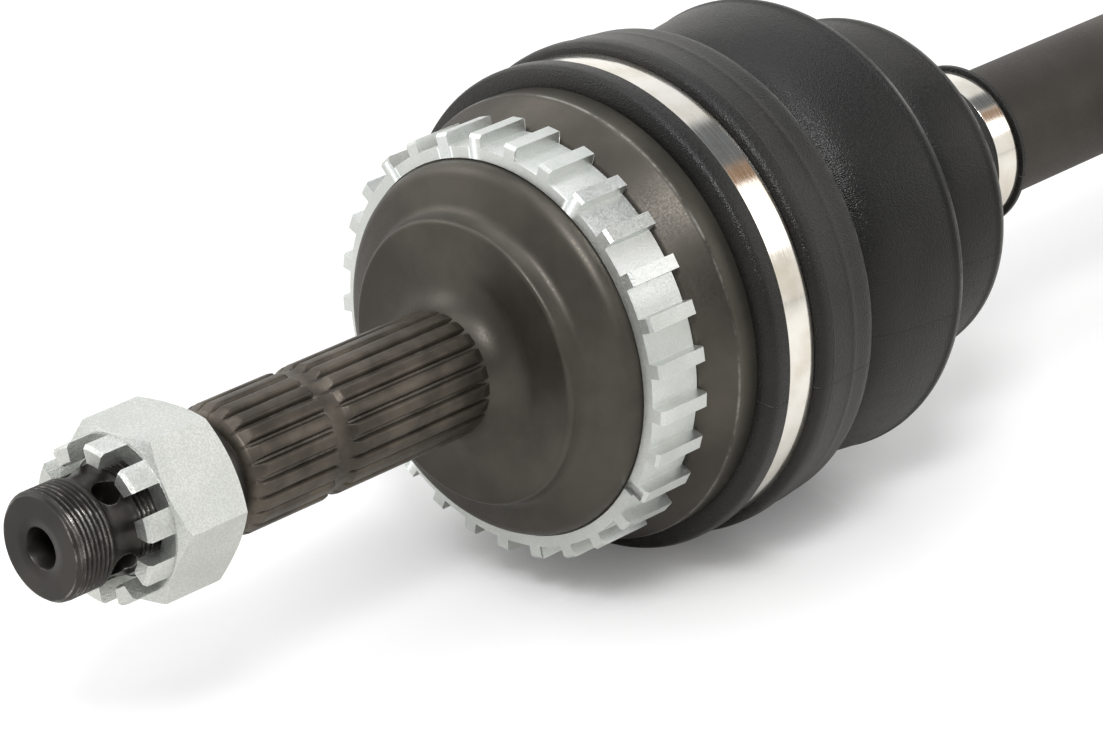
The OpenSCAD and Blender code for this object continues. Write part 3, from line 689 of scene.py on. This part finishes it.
@dataclass
class WheelStub:
    """Threaded and splined stub at the wheel end, in front of the bell. Sizes are in millimetres."""

    thread_r: float = 10.0
    pitch: float = 1.0
    depth: float = 0.58
    tip_thread: Pair = (1.0, 7.6)
    rear_thread: Pair = (14.2, 33.6)
    neck_r: float = 9.2
    shank_r: float = 9.4
    groove_x: Pair = (58.7, 62.1)
    root_r: float = 11.2
    tip_r: float = 12.2
    teeth: int = 22
    tooth_angle: float = 161.7
    centre_r: float = 3.7
    centre_depth: float = 7.85
    cotter_x: float = 11.2
    cotter_r: float = 2.5
    cotter_angles: Pair = (119.0, 209.0)
    around: int = 144

    def build(self, shelf: Shelf) -> None:
        """Builds the threaded end and the spline."""
        self._thread(shelf)
        self._spline(shelf)

    def _thread(self, shelf: Shelf) -> None:
        """Builds the threaded end: a helix in two lengths, with the neck and the cross holes between them.

        Args:
            shelf: the finishes.
        """
        turn = np.linspace(0, 2 * math.pi, self.around, endpoint=False)
        x = self._thread_places()
        phase = np.mod(x[:, None] / self.pitch - turn / (2 * math.pi), 1.0)
        groove = np.clip((1 - np.abs(2 * phase - 1) - 0.12) / 0.8, 0, 1)
        blank, cutting = self._thread_blank(x)
        rows = swept(x, blank[:, None] - self.depth * cutting[:, None] * groove, turn)
        hole = circles([(self.centre_depth, 0.02), (6.0, self.centre_r), (0.35, self.centre_r),
                        (0.0, self.centre_r + 0.35)], self.around)
        face = circles([(0.0, 6.0), (0.0, 8.0)], self.around)
        solid, material = loft(np.concatenate([hole, face, rows])), shelf.get("thread")
        stub = piece("stub_thread", solid, material, SHARP_THREAD)
        for angle in self.cotter_angles:
            cut(stub, piece("cotter_drill", loft(self._drill_rows(angle)), material))
        stub.data.set_sharp_from_angle(angle=math.radians(SHARP_THREAD))
        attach(stub, Body.BELL.value)
        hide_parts("outer_bell")

    @staticmethod
    def _thread_places() -> np.ndarray:
        """Places of the loops along the thread, close together only where it is seen."""
        return np.unique(np.concatenate([
            np.arange(0.0, 8.9, 0.08), np.arange(8.9, 13.6, 0.3), np.arange(13.6, 15.6, 0.1),
            np.arange(15.6, 32.4, 0.25), np.arange(32.4, 38.71, 0.1)]))

    def _thread_blank(self, x: np.ndarray) -> tuple[np.ndarray, np.ndarray]:
        """The uncut blank and where it is threaded.

        Args:
            x: places along the shaft.

        Returns:
            Radius of the blank and share of the thread's full depth, at each place.
        """
        full, worn = self.thread_r, self.shank_r
        outline = [(0.0, 9.3), (0.12, 9.32), (0.7, 9.85), (0.95, full), (7.7, full), (8.1, 9.75), (8.7, worn),
                   (9.5, self.neck_r), (12.4, self.neck_r), (13.2, worn), (13.8, 9.75), (14.1, full),
                   (33.6, full), (34.4, 9.45), (38.7, worn)]
        blank = np.interp(x, *zip(*outline))
        cutting = np.zeros_like(x)
        for start, end in (self.tip_thread, self.rear_thread):
            run_in = np.clip((x - start + 0.3) / 0.8, 0, 1)
            cutting = np.maximum(cutting, run_in * np.clip((end - x + 0.3) / 0.8, 0, 1))
        return blank, cutting

    def _drill_rows(self, angle: float) -> np.ndarray:
        """Loops of a cross hole with a broken edge at both mouths.

        Args:
            angle: the hole's direction in degrees.

        Returns:
            Array of loops.
        """
        reach, r = 12.0, self.cotter_r
        half = [(self.neck_r - 0.25, r), (self.neck_r + 0.15, r + 0.15), (reach, r + 0.3)]
        rows = circles([(-x, wide) for x, wide in reversed(half)] + half, 64)
        a = math.radians(angle)
        along, left, up = rows[..., 0], rows[..., 1], rows[..., 2]
        turned = np.stack([left + self.cotter_x, along * math.cos(a) - up * math.sin(a),
                           along * math.sin(a) + up * math.cos(a)], -1)
        return turned[:, ::-1]

    def _spline(self, shelf: Shelf) -> None:
        """Builds the splined length, with ramped tooth ends and its ring groove.

        Args:
            shelf: the finishes.
        """
        flank = [(0.0, 0.0), (0.02, 0.06), (0.3, 0.105), (0.78, 0.175), (0.94, 0.22), (0.99, 0.3), (1.0, 0.4),
                 (1.0, 0.6), (0.99, 0.7), (0.94, 0.78), (0.78, 0.825), (0.3, 0.895), (0.02, 0.94)]
        pitch = 2 * math.pi / self.teeth
        shift = math.radians(self.tooth_angle) - pitch / 2
        turn = np.array([shift + (i + share) * pitch for i in range(self.teeth) for _, share in flank])
        tooth = np.tile([height for height, _ in flank], self.teeth)
        root, tip = self.root_r, self.tip_r
        bed, over = root + 0.2, tip + 0.02
        limit = [(38.6, self.shank_r), (38.8, root - 1.0), (39.5, root + 0.1), (41.7, tip - 0.05),
                 (42.1, over), (58.1, over), (58.4, tip - 0.1), (58.75, bed), (62.05, bed),
                 (63.4, tip - 0.06), (63.9, over), (94.2, over), (94.9, tip - 0.12), (96.9, root + 0.25),
                 (97.8, root - 0.4)]
        x = np.unique(np.concatenate([
            [p[0] for p in limit], np.linspace(39.5, 41.7, 8), np.linspace(62.05, 63.9, 7),
            np.linspace(94.2, 97.8, 13), np.linspace(42.5, 58.0, 5), np.linspace(64.5, 91.5, 7)]))
        top = np.interp(x, *zip(*limit))
        r = np.minimum((root + (tip - root) * tooth)[None, :], top[:, None])
        r[(x > self.groove_x[0] + 0.04) & (x < self.groove_x[1] - 0.04)] = bed
        obj = piece("stub_spline", loft(swept(x, r, turn)), shelf.get("spline"), SHARP_TURNED)
        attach(obj, Body.BELL.value)
        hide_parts("outer_bell")


@dataclass
class OuterBell:
    """Bell of the ball joint with its pressed-on toothed ring. Sizes are in millimetres."""

    stub_l: float = 101.0
    fillet: float = 7.0
    root_r: float = 11.2
    boss_r: float = 27.3
    seat_r: float = 36.0
    ring: Pair = (110.4, 122.2)
    rim_r: float = 43.2
    edge_x: float = 128.0
    clamp_x: Pair = (136.0, 147.4)
    clamp_r: float = 42.4
    mouth_x: float = 154.0
    bore_r: float = 30.97
    floor: Pair = (115.0, 16.8)
    joint_x: float = 141.0
    ring_teeth: int = 29
    ring_angle: float = 144.2
    band_r: float = 38.5
    tip_r: float = 40.9
    tooth_w: float = 2.7
    tooth_chamfer: float = 0.55
    tooth_round: float = 0.16
    around: int = 224

    def build(self, shelf: Shelf) -> None:
        """Builds the bell and the ring."""
        self._forging(shelf)
        self._tone_ring(shelf)

    def _profile(self) -> list[Pair]:
        """Outside of the bell.

        Returns:
            Points from the stub to the seat of the boot.
        """
        stub, front, rear, edge = self.stub_l, *self.ring, self.edge_x
        boss, seat, rim = self.boss_r, self.seat_r, self.rim_r
        bend, root = self.fillet, self.root_r
        fillet = [(stub - bend + bend * math.sin(a), root + bend * (1 - math.cos(a)))
                  for a in np.radians(np.arange(0, 91, 5))]
        face = [(stub + 0.02, 20.0), (stub + 0.12, 23.0), (stub + 0.05, 25.4)]
        corner = [(stub + 1 - math.cos(a), boss - 1 + math.sin(a)) for a in np.radians(np.arange(0, 91, 9))]
        step = [(stub + 2.0, boss + 0.25), (stub + 2.8, boss + 0.5), (stub + 3.3, boss + 0.8),
                (stub + 3.8, boss + 1.3), (stub + 4.2, boss + 2.0), (stub + 4.5, boss + 2.9),
                (stub + 5.4, 32.0)]
        lip = [(front - 3.4, seat - 2.4), (front - 3.05, seat - 1.7), (front - 2.6, seat - 1.1),
               (front - 2.0, seat - 0.65), (front - 1.3, seat - 0.3), (front - 0.3, seat - 0.05)]
        cone = [(rear - 0.2, seat), (rear + 0.02, seat + 0.1), (rear + 0.1, seat + 2.2),
                (rear + 0.3, seat + 2.6), (rear + 0.7, seat + 3.0), (edge - 0.7, rim - 0.85),
                (edge - 0.3, rim - 0.45), (edge + 0.1, rim - 0.18), (edge + 0.7, rim - 0.02),
                (edge + 1.4, rim), (self.clamp_x[0], rim)]
        return fillet + face + corner + step + lip + cone

    def _forging(self, shelf: Shelf) -> None:
        """Builds the bell: its turned outside and its spherical bore.

        Args:
            shelf: the finishes.
        """
        rim, mouth, ball = self.rim_r, self.mouth_x, self.bore_r
        start, end = self.clamp_x
        neck = [(self.stub_l - self.fillet - 0.6, self.root_r - 0.3)]
        seat = [(start + 0.6, self.clamp_r), (end - 0.6, self.clamp_r), (end, rim), (mouth - 1.2, rim),
                (mouth, rim - 1.2), (mouth, ball + 0.6), (mouth - 2.2, 29.0)]
        bore = [(self.joint_x + ball * math.cos(a), ball * math.sin(a))
                for a in np.radians(np.arange(70, 148, 6))]
        line = neck + self._profile() + seat + bore + [self.floor, (self.floor[0], 0.02)]
        solid = loft(circles(line, self.around))
        obj = piece("bell_forging", solid, shelf.get("bell"), SHARP_TURNED)
        obj.data.materials.append(shelf.get("rim"))
        for face in obj.data.polygons:
            centre = face.center
            if centre.x > (self.edge_x + 0.4) * MM and math.hypot(centre.y, centre.z) > (rim - 0.3) * MM:
                face.material_index = 1
        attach(obj, Body.BELL.value)
        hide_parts("outer_bell")

    def _ring_loop(self, x: float, tooth_r: float, land_r: float) -> np.ndarray:
        """One loop round the toothed ring.

        Args:
            x: the loop's place along the shaft.
            tooth_r: radius on the teeth.
            land_r: radius between them.

        Returns:
            Points of the loop.
        """
        half = self.tooth_w / 2
        pitch = 2 * math.pi / self.ring_teeth
        edge = math.asin(half / self.band_r)
        foot = land_r * math.cos(edge)
        points = []
        for i in range(self.ring_teeth):
            a = math.radians(self.ring_angle) + i * pitch
            c, d = math.cos(a), math.sin(a)
            for out, side in ((foot, -half), (tooth_r, -half), (tooth_r, half), (foot, half)):
                points.append((x, out * c - side * d, out * d + side * c))
            for k in range(1, 6):
                b = a + edge + (pitch - 2 * edge) * k / 6
                points.append((x, land_r * math.cos(b), land_r * math.sin(b)))
        return np.array(points)

    def _tone_ring(self, shelf: Shelf) -> None:
        """Builds the toothed ring: ribs with a bevelled front edge stand on a band.

        Args:
            shelf: the finishes.
        """
        front, rear = self.ring
        chamfer, tip, band, bore = self.tooth_chamfer, self.tip_r, self.band_r, self.seat_r - 0.02
        section = [(front + 0.3, bore, bore), (front, bore + 0.3, bore + 0.3),
                   (front, tip - chamfer, band - 0.1), (front + chamfer, tip, band), (rear - 0.2, tip, band),
                   (rear, tip - 0.2, band - 0.2), (rear, bore + 0.2, bore + 0.2), (rear - 0.2, bore, bore)]
        rows = np.array([self._ring_loop(*place) for place in section])
        solid = loft(rows, close_rows=True)
        obj = piece("tone_ring_teeth", solid, shelf.get("ring"), SHARP_TEETH)
        round_edges(obj, self.tooth_round, SHARP_TURNED)
        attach(obj, Body.BELL.value)
        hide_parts("tone_ring")


def round_edges(obj: bpy.types.Object, width: float, angle: float) -> None:
    """Rounds an object's sharp edges.

    Args:
        obj: the object.
        width: width of the rounding in millimetres.
        angle: least angle of an edge in degrees.
    """
    step = obj.modifiers.new("round_edges", "BEVEL")
    step.width, step.segments = width * MM, 2
    step.limit_method, step.angle_limit = "ANGLE", math.radians(angle)
    step.use_clamp_overlap = True
    step.harden_normals = False


@dataclass
class BootPart:
    """One stretch of a boot and the bodies at its two ends."""

    name: str
    start: float
    end: float
    first: Body
    second: Body | None = None


@dataclass
class Boot:
    """Moulded bellows boot, cut into stretches that each cross one joint at most. Sizes are in mm."""

    node: str
    head: list[Pair]
    folds: list[Pair]
    tail: list[Pair]
    parts: list[BootPart]
    bore: list[Pair]
    least_wall: float = 1.0
    around: int = 224
    lining_rows: int = 36

    def build(self, shelf: Shelf) -> None:
        """Builds the boot's stretches.

        Args:
            shelf: the finishes.
        """
        line = in_order(self.head + self.folds + self.tail)
        for index, part in enumerate(self.parts):
            low, high = sorted((part.start, part.end))
            inner = [x for x, _ in line if low + 0.05 < x < high - 0.05]
            skin = [(x, radius_at(line, x)) for x in (low, *inner, high)]
            lining = [(x, self._lining(x, line)) for x in np.linspace(high, low, self.lining_rows)]
            solid = loft(circles(skin + lining, self.around), close_rows=True)
            obj = piece(part.name, solid, shelf.get("rubber"), SHARP_MOULDED)
            if part.second is None:
                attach(obj, part.first.value)
            else:
                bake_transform(obj)
            if index == 0:
                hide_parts(self.node)

    def _lining(self, x: float, skin: list[Pair]) -> float:
        """Radius of the lining, which follows the bore but keeps the least wall under the folds.

        Args:
            x: place along the shaft.
            skin: points of the outside, in order of x.

        Returns:
            The radius.
        """
        own = radius_at(self.bore, x)
        first, last = sorted((self.folds[0][0], self.folds[-1][0]))
        if not first < x < last:
            return own
        near = min(radius_at(skin, x + step) for step in (-1.2, -0.6, 0.0, 0.6, 1.2))
        return min(own, near - self.least_wall)


def radius_at(line: list[Pair], x: float) -> float:
    """Radius of a line at a place, also between its points.

    Args:
        line: (x, radius) of the points, in order of x.
        x: place along the shaft.

    Returns:
        The radius.
    """
    return float(np.interp(x, *zip(*line)))


def in_order(line: list[Pair]) -> list[Pair]:
    """Sorts a line's points and keeps one of those that share their place.

    Args:
        line: (x, radius) of the points.

    Returns:
        The points in order of x.
    """
    kept: list[Pair] = []
    for x, r in sorted(line, key=lambda p: p[0]):
        if not kept or x - kept[-1][0] > 0.01:
            kept.append((x, r))
    return kept


@dataclass
class BandClamp:
    """Stainless band with a pinched ear. Sizes are in millimetres, the ear's angle is in degrees."""

    name: str
    node: str
    body: Body
    start: float
    width: float
    seat_r: float
    ear_angle: float
    ear_h: float
    band_t: float = 0.6
    ear_half: float = 4.0
    play: float = 0.03
    corner: float = 0.12
    narrowing: float = 0.2

    def build(self, shelf: Shelf) -> None:
        """Builds the band as one strip that rises into its ear.

        Args:
            shelf: the finishes.
        """
        r_mid = self.seat_r + self.play + self.band_t / 2
        path = self._path(r_mid)
        tangent = np.roll(path, -1, 0) - np.roll(path, 1, 0)
        tangent /= np.linalg.norm(tangent, axis=1)[:, None]
        normal = np.stack([tangent[:, 1], -tangent[:, 0]], -1)
        rise = np.hypot(path[:, 0], path[:, 1]) - r_mid
        share = 1 - self.narrowing * np.clip(rise / 1.2, 0, 1)
        along, up = self._section()
        x = self.start + self.width / 2 + along * self.width * share[:, None]
        y, z = np.moveaxis(path[:, None] + normal[:, None] * up[:, None], -1, 0)
        a = math.radians(self.ear_angle)
        rows = np.stack([x, y * math.cos(a) - z * math.sin(a), y * math.sin(a) + z * math.cos(a)], -1)
        obj = piece(self.name, loft(rows, close_rows=True), shelf.get("band"), SHARP_TURNED)
        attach(obj, self.body.value)
        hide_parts(self.node)

    def _path(self, r_mid: float) -> np.ndarray:
        """Middle line of the strip, seen along the shaft, with the ear in the first direction.

        Args:
            r_mid: radius of the middle line away from the ear.

        Returns:
            Points of the line.
        """
        h, w = self.ear_h - self.band_t / 2, self.ear_half - self.band_t / 2
        rising = [(-w - 1.5, 0.0), (-w - 0.7, 0.12), (-w - 0.15, 0.6), (-w, 1.3), (-w, h * 0.55),
                  (-w + 0.15, h - 0.7), (-w + 0.8, h - 0.08), (-w + 1.6, h), (-0.8, h - 0.35)]
        ear = rising + [(-side, up) for side, up in reversed(rising)]
        gap = (w + 1.5) / r_mid
        turn = np.linspace(gap, 2 * math.pi - gap, 200)[1:-1]
        return np.array([(r_mid + up, side) for side, up in ear]
                        + [(r_mid * math.cos(t), r_mid * math.sin(t)) for t in turn])

    def _section(self) -> tuple[np.ndarray, np.ndarray]:
        """Cross section of the strip, with broken corners.

        Returns:
            Place of each corner across the band, as a share of its width, and through its thickness.
        """
        t, edge, face = self.band_t / 2, 0.5, 0.5 - self.corner / self.width
        low = t - self.corner
        corners = np.array([(-edge, -low), (-edge, low), (-face, t), (face, t),
                            (edge, low), (edge, -low), (face, -t), (-face, -t)])
        return corners[:, 0], corners[:, 1]


@dataclass
class CarriedNodes:
    """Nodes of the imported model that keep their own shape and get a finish."""

    nodes_of: dict[str, tuple[str, ...]] = field(default_factory=lambda: {
        "nut": ("castle_nut",),
        "bar": ("shaft_bar",),
        "housing": ("inner_housing",),
        "bush": ("boot_bush",),
        "race": ("outer_inner_race", "outer_cage", "tripod_spider"),
        "ball": ("upper_ball", "side_balls", "lower_ball", "upper_roller", "front_roller", "rear_roller",
                 "upper_needles", "front_needles", "rear_needles"),
        "spring": ("race_circlip", "spider_circlip", "roller_retainers", "gearbox_circlip"),
    })

    def build(self, shelf: Shelf) -> None:
        """Gives each node its finish.

        Args:
            shelf: the finishes.
        """
        for key, nodes in self.nodes_of.items():
            material = shelf.get(key)
            for node in nodes:
                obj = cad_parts[node]
                if not obj.material_slots:
                    obj.data.materials.append(material)
                for place in obj.material_slots:
                    place.material = material
                LOG.info("node %s: %s", node, key)


@dataclass(frozen=True)
class Softbox:
    """A square lamp. Its places and its size are in metres, its power is in watts."""

    name: str
    place: Triple
    target: Triple
    size: float
    power: float
    on_floor: bool

    def build(self, beside_floor: bpy.types.Collection) -> None:
        """Hangs the lamp.

        Args:
            beside_floor: light linking that leaves the floor out.
        """
        data = bpy.data.lights.new(self.name, "AREA")
        data.shape, data.size, data.energy = "SQUARE", self.size, self.power
        light = bpy.data.objects.new(self.name, data)
        light.location = self.place
        way = Vector(self.target) - Vector(self.place)
        light.rotation_euler = way.to_track_quat("-Z", "Y").to_euler()
        if not self.on_floor:
            light.light_linking.receiver_collection = beside_floor
        bpy.context.scene.collection.objects.link(light)


@dataclass
class Studio:
    """Pale floor, soft light and the camera at the photograph's view. Sizes are in millimetres."""

    floor_z: float = -48.4
    floor_half: float = 6000.0
    eye: Triple = (-461.99, -554.60, 367.03)
    right: Triple = (0.686887, -0.726764, 0.0)
    forward: Triple = (0.658782, 0.622637, -0.422291)
    sensor: float = 36.0
    focal_px: float = 4802.5
    frame_px: float = 1103.0
    lamps: tuple[Softbox, ...] = (
        Softbox("softbox_top", (0.2, 0.15, 1.5), (0.12, 0, 0), 1.2, 7.5, True),
        Softbox("softbox_back", (-0.35, 1.25, 0.95), (0.2, 0.1, 0), 0.9, 4.5, False),
        Softbox("softbox_near", (-0.75, -0.7, 1.35), (0.15, 0, 0), 0.42, 15.0, True),
        Softbox("softbox_right", (1.31, -1.08, 0.85), (0.15, 0, 0), 0.7, 2.2, False),
    )

    def build(self) -> None:
        """Sets up camera, floor, world and lights."""
        self._camera()
        floor = self._floor()
        self._world()
        self._lights(floor)
        view = bpy.context.scene.view_settings
        view.view_transform = "Standard"
        view.look = "None"

    def _camera(self) -> None:
        """Places the camera by its fit to the photograph."""
        data = bpy.data.cameras.new("camera")
        data.sensor_fit, data.sensor_width = "HORIZONTAL", self.sensor
        data.lens = self.focal_px / self.frame_px * self.sensor
        data.clip_start, data.clip_end = 0.01, 50.0
        camera = bpy.data.objects.new("camera", data)
        right, forward = Vector(self.right), Vector(self.forward)
        up = right.cross(forward)
        turn = Matrix((right, up, -forward)).transposed().to_4x4()
        camera.matrix_world = Matrix.Translation(Vector(self.eye) * MM) @ turn
        bpy.context.scene.collection.objects.link(camera)
        bpy.context.scene.camera = camera

    def _floor(self) -> bpy.types.Object:
        """Lays a wide white floor under the boots.

        Returns:
            The floor.
        """
        far, z = self.floor_half * MM, self.floor_z * MM
        mesh = bpy.data.meshes.new("floor")
        mesh.from_pydata([(-far, -far, z), (far, -far, z), (far, far, z), (-far, far, z)], [], [(0, 1, 2, 3)])
        mesh.materials.append(self._sweep())
        floor = bpy.data.objects.new("floor", mesh)
        bpy.context.scene.collection.objects.link(floor)
        return floor

    @staticmethod
    def _sweep() -> bpy.types.Material:
        """White paper, lifted for the camera only, so that its bounce light stays soft. Ambient occlusion
        darkens the paper and dims the lift close under the part, as a painted contact shadow.

        Returns:
            The material.
        """
        material = bpy.data.materials.new("floor_white")
        material.use_nodes = True
        material.node_tree.nodes.clear()
        graph = Graph(material.node_tree)
        # Painted contact shadow: paper colour and camera lift drop where ambient occlusion finds the part
        # close above the floor.
        open_sky = graph.add("ShaderNodeAmbientOcclusion", {"Distance": 0.02}, samples=16).outputs["AO"]
        tone = graph.mix(graph.spread(open_sky, 0.0, 0.7), (0.35, 0.35, 0.35), (0.72, 0.72, 0.72))
        lift_with_painted_shadow = graph.spread(open_sky, 0.0, 0.7, 0.1, 0.32)
        paper = graph.add("ShaderNodeBsdfDiffuse", {"Color": tone})
        bounce = graph.add("ShaderNodeBsdfDiffuse", {"Color": (0.74, 0.73, 0.71, 1.0)})
        lift = graph.add("ShaderNodeEmission", {"Color": (1.0, 1.0, 1.0, 1.0), "Strength": lift_with_painted_shadow})
        seen = graph.add("ShaderNodeAddShader", {0: paper.outputs[0], 1: lift.outputs[0]})
        direct = graph.add("ShaderNodeLightPath").outputs["Is Camera Ray"]
        both = graph.add("ShaderNodeMixShader", {0: direct, 1: bounce.outputs[0], 2: seen.outputs[0]})
        graph.add("ShaderNodeOutputMaterial", {"Surface": both.outputs[0]})
        return material

    @staticmethod
    def _world() -> None:
        """Sets up a white room.

        It is darker behind the camera and creamier low on the right. Above that are two dark gaps, which the
        bands mirror.
        """
        world = bpy.data.worlds.new("studio")
        world.use_nodes = True
        world.node_tree.nodes.clear()
        graph = Graph(world.node_tree)
        place = graph.add("ShaderNodeTexCoord").outputs["Generated"]
        height = graph.add("ShaderNodeSeparateXYZ", {0: place}).outputs[2]
        behind = graph.spread(graph.toward(place, (-0.72, -0.69, 0.0)), 0.1, 0.85)
        low_right = graph.spread(graph.toward(place, (0.654, -0.752, 0.08)), 0.86, 0.97)
        gap = graph.spread(graph.toward(place, (0.659, -0.131, 0.741)), 0.972, 0.99)
        warm_gap = graph.spread(graph.toward(place, (0.659, -0.431, 0.616)), 0.98, 0.99)
        tint = graph.mix(behind, (1.06, 1.055, 1.04), (0.25, 0.25, 0.25))
        tint = graph.mix(low_right, tint, (0.8, 0.78, 0.74))
        tint = graph.mix(graph.spread(height, 0.3, 0.85), tint, (0.75, 0.76, 0.77))
        tint = graph.mix(gap, tint, (0.14, 0.15, 0.16))
        tint = graph.mix(warm_gap, tint, (0.3, 0.19, 0.12))
        back = graph.add("ShaderNodeBackground", {"Color": tint, "Strength": 1.0})
        graph.add("ShaderNodeOutputWorld", {"Surface": back.outputs[0]})
        bpy.context.scene.world = world

    def _lights(self, floor: bpy.types.Object) -> None:
        """Hangs four softboxes: overhead, behind on the left, above the camera, and on the right.

        Args:
            floor: left out by two of them, so that the shadows stay under the part.
        """
        skip = bpy.data.collections.new("not_lit_from_behind")
        skip.objects.link(floor)
        skip.collection_objects[0].light_linking.link_state = "EXCLUDE"
        for lamp in self.lamps:
            lamp.build(skip)


def outer_boot() -> Boot:
    """Describes the boot of the ball joint.

    Returns:
        The boot.
    """
    head = [(133.0, 43.3), (133.05, 45.4), (133.5, 46.5), (134.3, 47.0), (135.0, 47.1), (137.4, 47.1),
            (137.9, 46.9), (138.15, 46.5), (138.2, 45.7), (145.3, 45.7), (145.35, 46.9), (145.8, 47.7),
            (146.6, 48.1), (147.6, 48.2), (148.85, 48.2)]
    knots = [(148.9, 48.2), (161.6, 47.1), (166.4, 37.6), (190.4, 45.0), (200.5, 31.0), (215.9, 34.5),
             (231.8, 17.5)]
    ridges = ((155.0, 0.1), (161.3, 0.14), (188.3, 0.34), (189.6, 0.34), (213.9, 0.26), (215.2, 0.26))
    folds = [(x, r + sum(h * math.exp(-((x - at) / 0.7) ** 2) for at, h in ridges))
             for x, r in eased(knots, step=0.3)]
    tail = [(233.0, 17.0), (236.4, 16.4), (236.75, 16.1), (236.8, 15.3), (243.2, 15.3), (243.25, 16.5),
            (243.5, 16.8), (244.4, 16.8), (244.75, 16.5), (244.8, 13.6)]
    bore = [(133.0, 43.25), (149.0, 43.25), (150.5, 45.3), (160.6, 44.4), (165.8, 36.4), (169.5, 40.1),
            (189.0, 42.3), (200.0, 28.6), (214.6, 31.8), (230.0, 15.6), (234.0, 13.4), (245.0, 13.4)]
    # fold_a runs backwards, since a blend from the bell to the ball swells when the joint is fully bent.
    parts = [BootPart("outer_boot_collar", 133.0, 163.0, Body.BELL),
             BootPart("outer_boot_fold_a", 169.5, 163.0, Body.LOWER_BALL, Body.BELL),
             BootPart("outer_boot_fold_b", 169.5, 184.0, Body.LOWER_BALL, Body.CAGE),
             BootPart("outer_boot_fold_c", 184.0, 208.0, Body.CAGE, Body.UPPER_BALL),
             BootPart("outer_boot_cuff", 208.0, 230.0, Body.UPPER_BALL, Body.BAR),
             BootPart("outer_boot_seat", 230.0, 244.8, Body.BAR)]
    return Boot("outer_boot", head, folds, tail, parts, bore)


def inner_boot() -> Boot:
    """Describes the boot of the tripod joint, which opens towards the gearbox.

    Its lines are written as distances in front of the large end.

    Returns:
        The boot.
    """
    lip, seat, small = 534.0, 44.45, 15.3
    head = [(0.0, 42.1), (0.05, seat + 0.8), (0.5, seat + 1.3), (1.2, seat + 1.4), (2.6, seat + 1.4),
            (3.1, seat + 1.0), (3.2, seat), (10.3, seat), (10.35, seat + 0.9), (10.9, seat + 1.3),
            (11.8, seat + 1.4), (14.15, seat + 1.4)]
    knots = [(14.2, seat + 1.4), (22, seat + 0.4), (28, seat - 9), (36, seat - 2.4), (44, seat - 13.5),
             (52, seat - 7), (60, small + 14.2), (68, small + 16.5), (76, small + 7), (82, small + 8),
             (89, small + 1.4)]
    tail = [(91.6, small + 1.0), (91.95, small + 0.7), (92.0, small), (98.4, small), (98.45, small + 1.3),
            (98.8, small + 1.5), (99.5, small + 1.5), (99.95, small + 1.1), (100.0, 13.6)]
    bore = [(100.0, 13.4), (89.0, 13.4), (84.0, small + 2.5), (68.0, small + 10.5), (52.0, seat - 10.5),
            (36.0, seat - 6.5), (22.0, seat - 2.6), (16.0, 42.0), (0.0, 42.0)]
    head, folds, tail, bore = ([(lip - back, r) for back, r in line]
                               for line in (head, eased(knots, blur=0.8), tail, bore))
    parts = [BootPart("inner_boot_collar", 534.0, 518.0, Body.HOUSING),
             BootPart("inner_boot_fold_a", 518.0, 493.0, Body.HOUSING, Body.INNER_BOOT),
             BootPart("inner_boot_fold_b", 493.0, 480.0, Body.INNER_BOOT, Body.UPPER_ROLLER),
             BootPart("inner_boot_cuff", 480.0, 450.0, Body.UPPER_ROLLER, Body.BAR),
             BootPart("inner_boot_seat", 450.0, 434.0, Body.BAR)]
    return Boot("inner_boot", head, folds, tail, parts, bore, around=160)


def band_clamps() -> list[BandClamp]:
    """Describes the four clamps.

    Returns:
        The clamps, from the wheel's end on.
    """
    return [BandClamp("outer_large_band", "outer_large_clamp", Body.BELL, 138.3, 6.9, 45.7, 294.0, 4.6),
            BandClamp("outer_small_band", "outer_small_clamp", Body.BAR, 236.9, 6.2, 15.3, 294.0, 3.0),
            BandClamp("inner_large_band", "inner_large_clamp", Body.HOUSING, 523.8, 6.9, 44.45, 242.0, 3.6),
            BandClamp("inner_small_band", "inner_small_clamp", Body.BAR, 435.7, 6.2, 15.3, 294.0, 3.0)]


def main() -> None:
    """Builds the scene."""
    logging.basicConfig(level=logging.INFO, format="%(name)s: %(message)s")
    Studio().build()
    shelf = Shelf()
    WheelStub().build(shelf)
    OuterBell().build(shelf)
    outer_boot().build(shelf)
    inner_boot().build(shelf)
    for clamp in band_clamps():
        clamp.build(shelf)
    CarriedNodes().build(shelf)


if __name__ == "__main__":
    main()
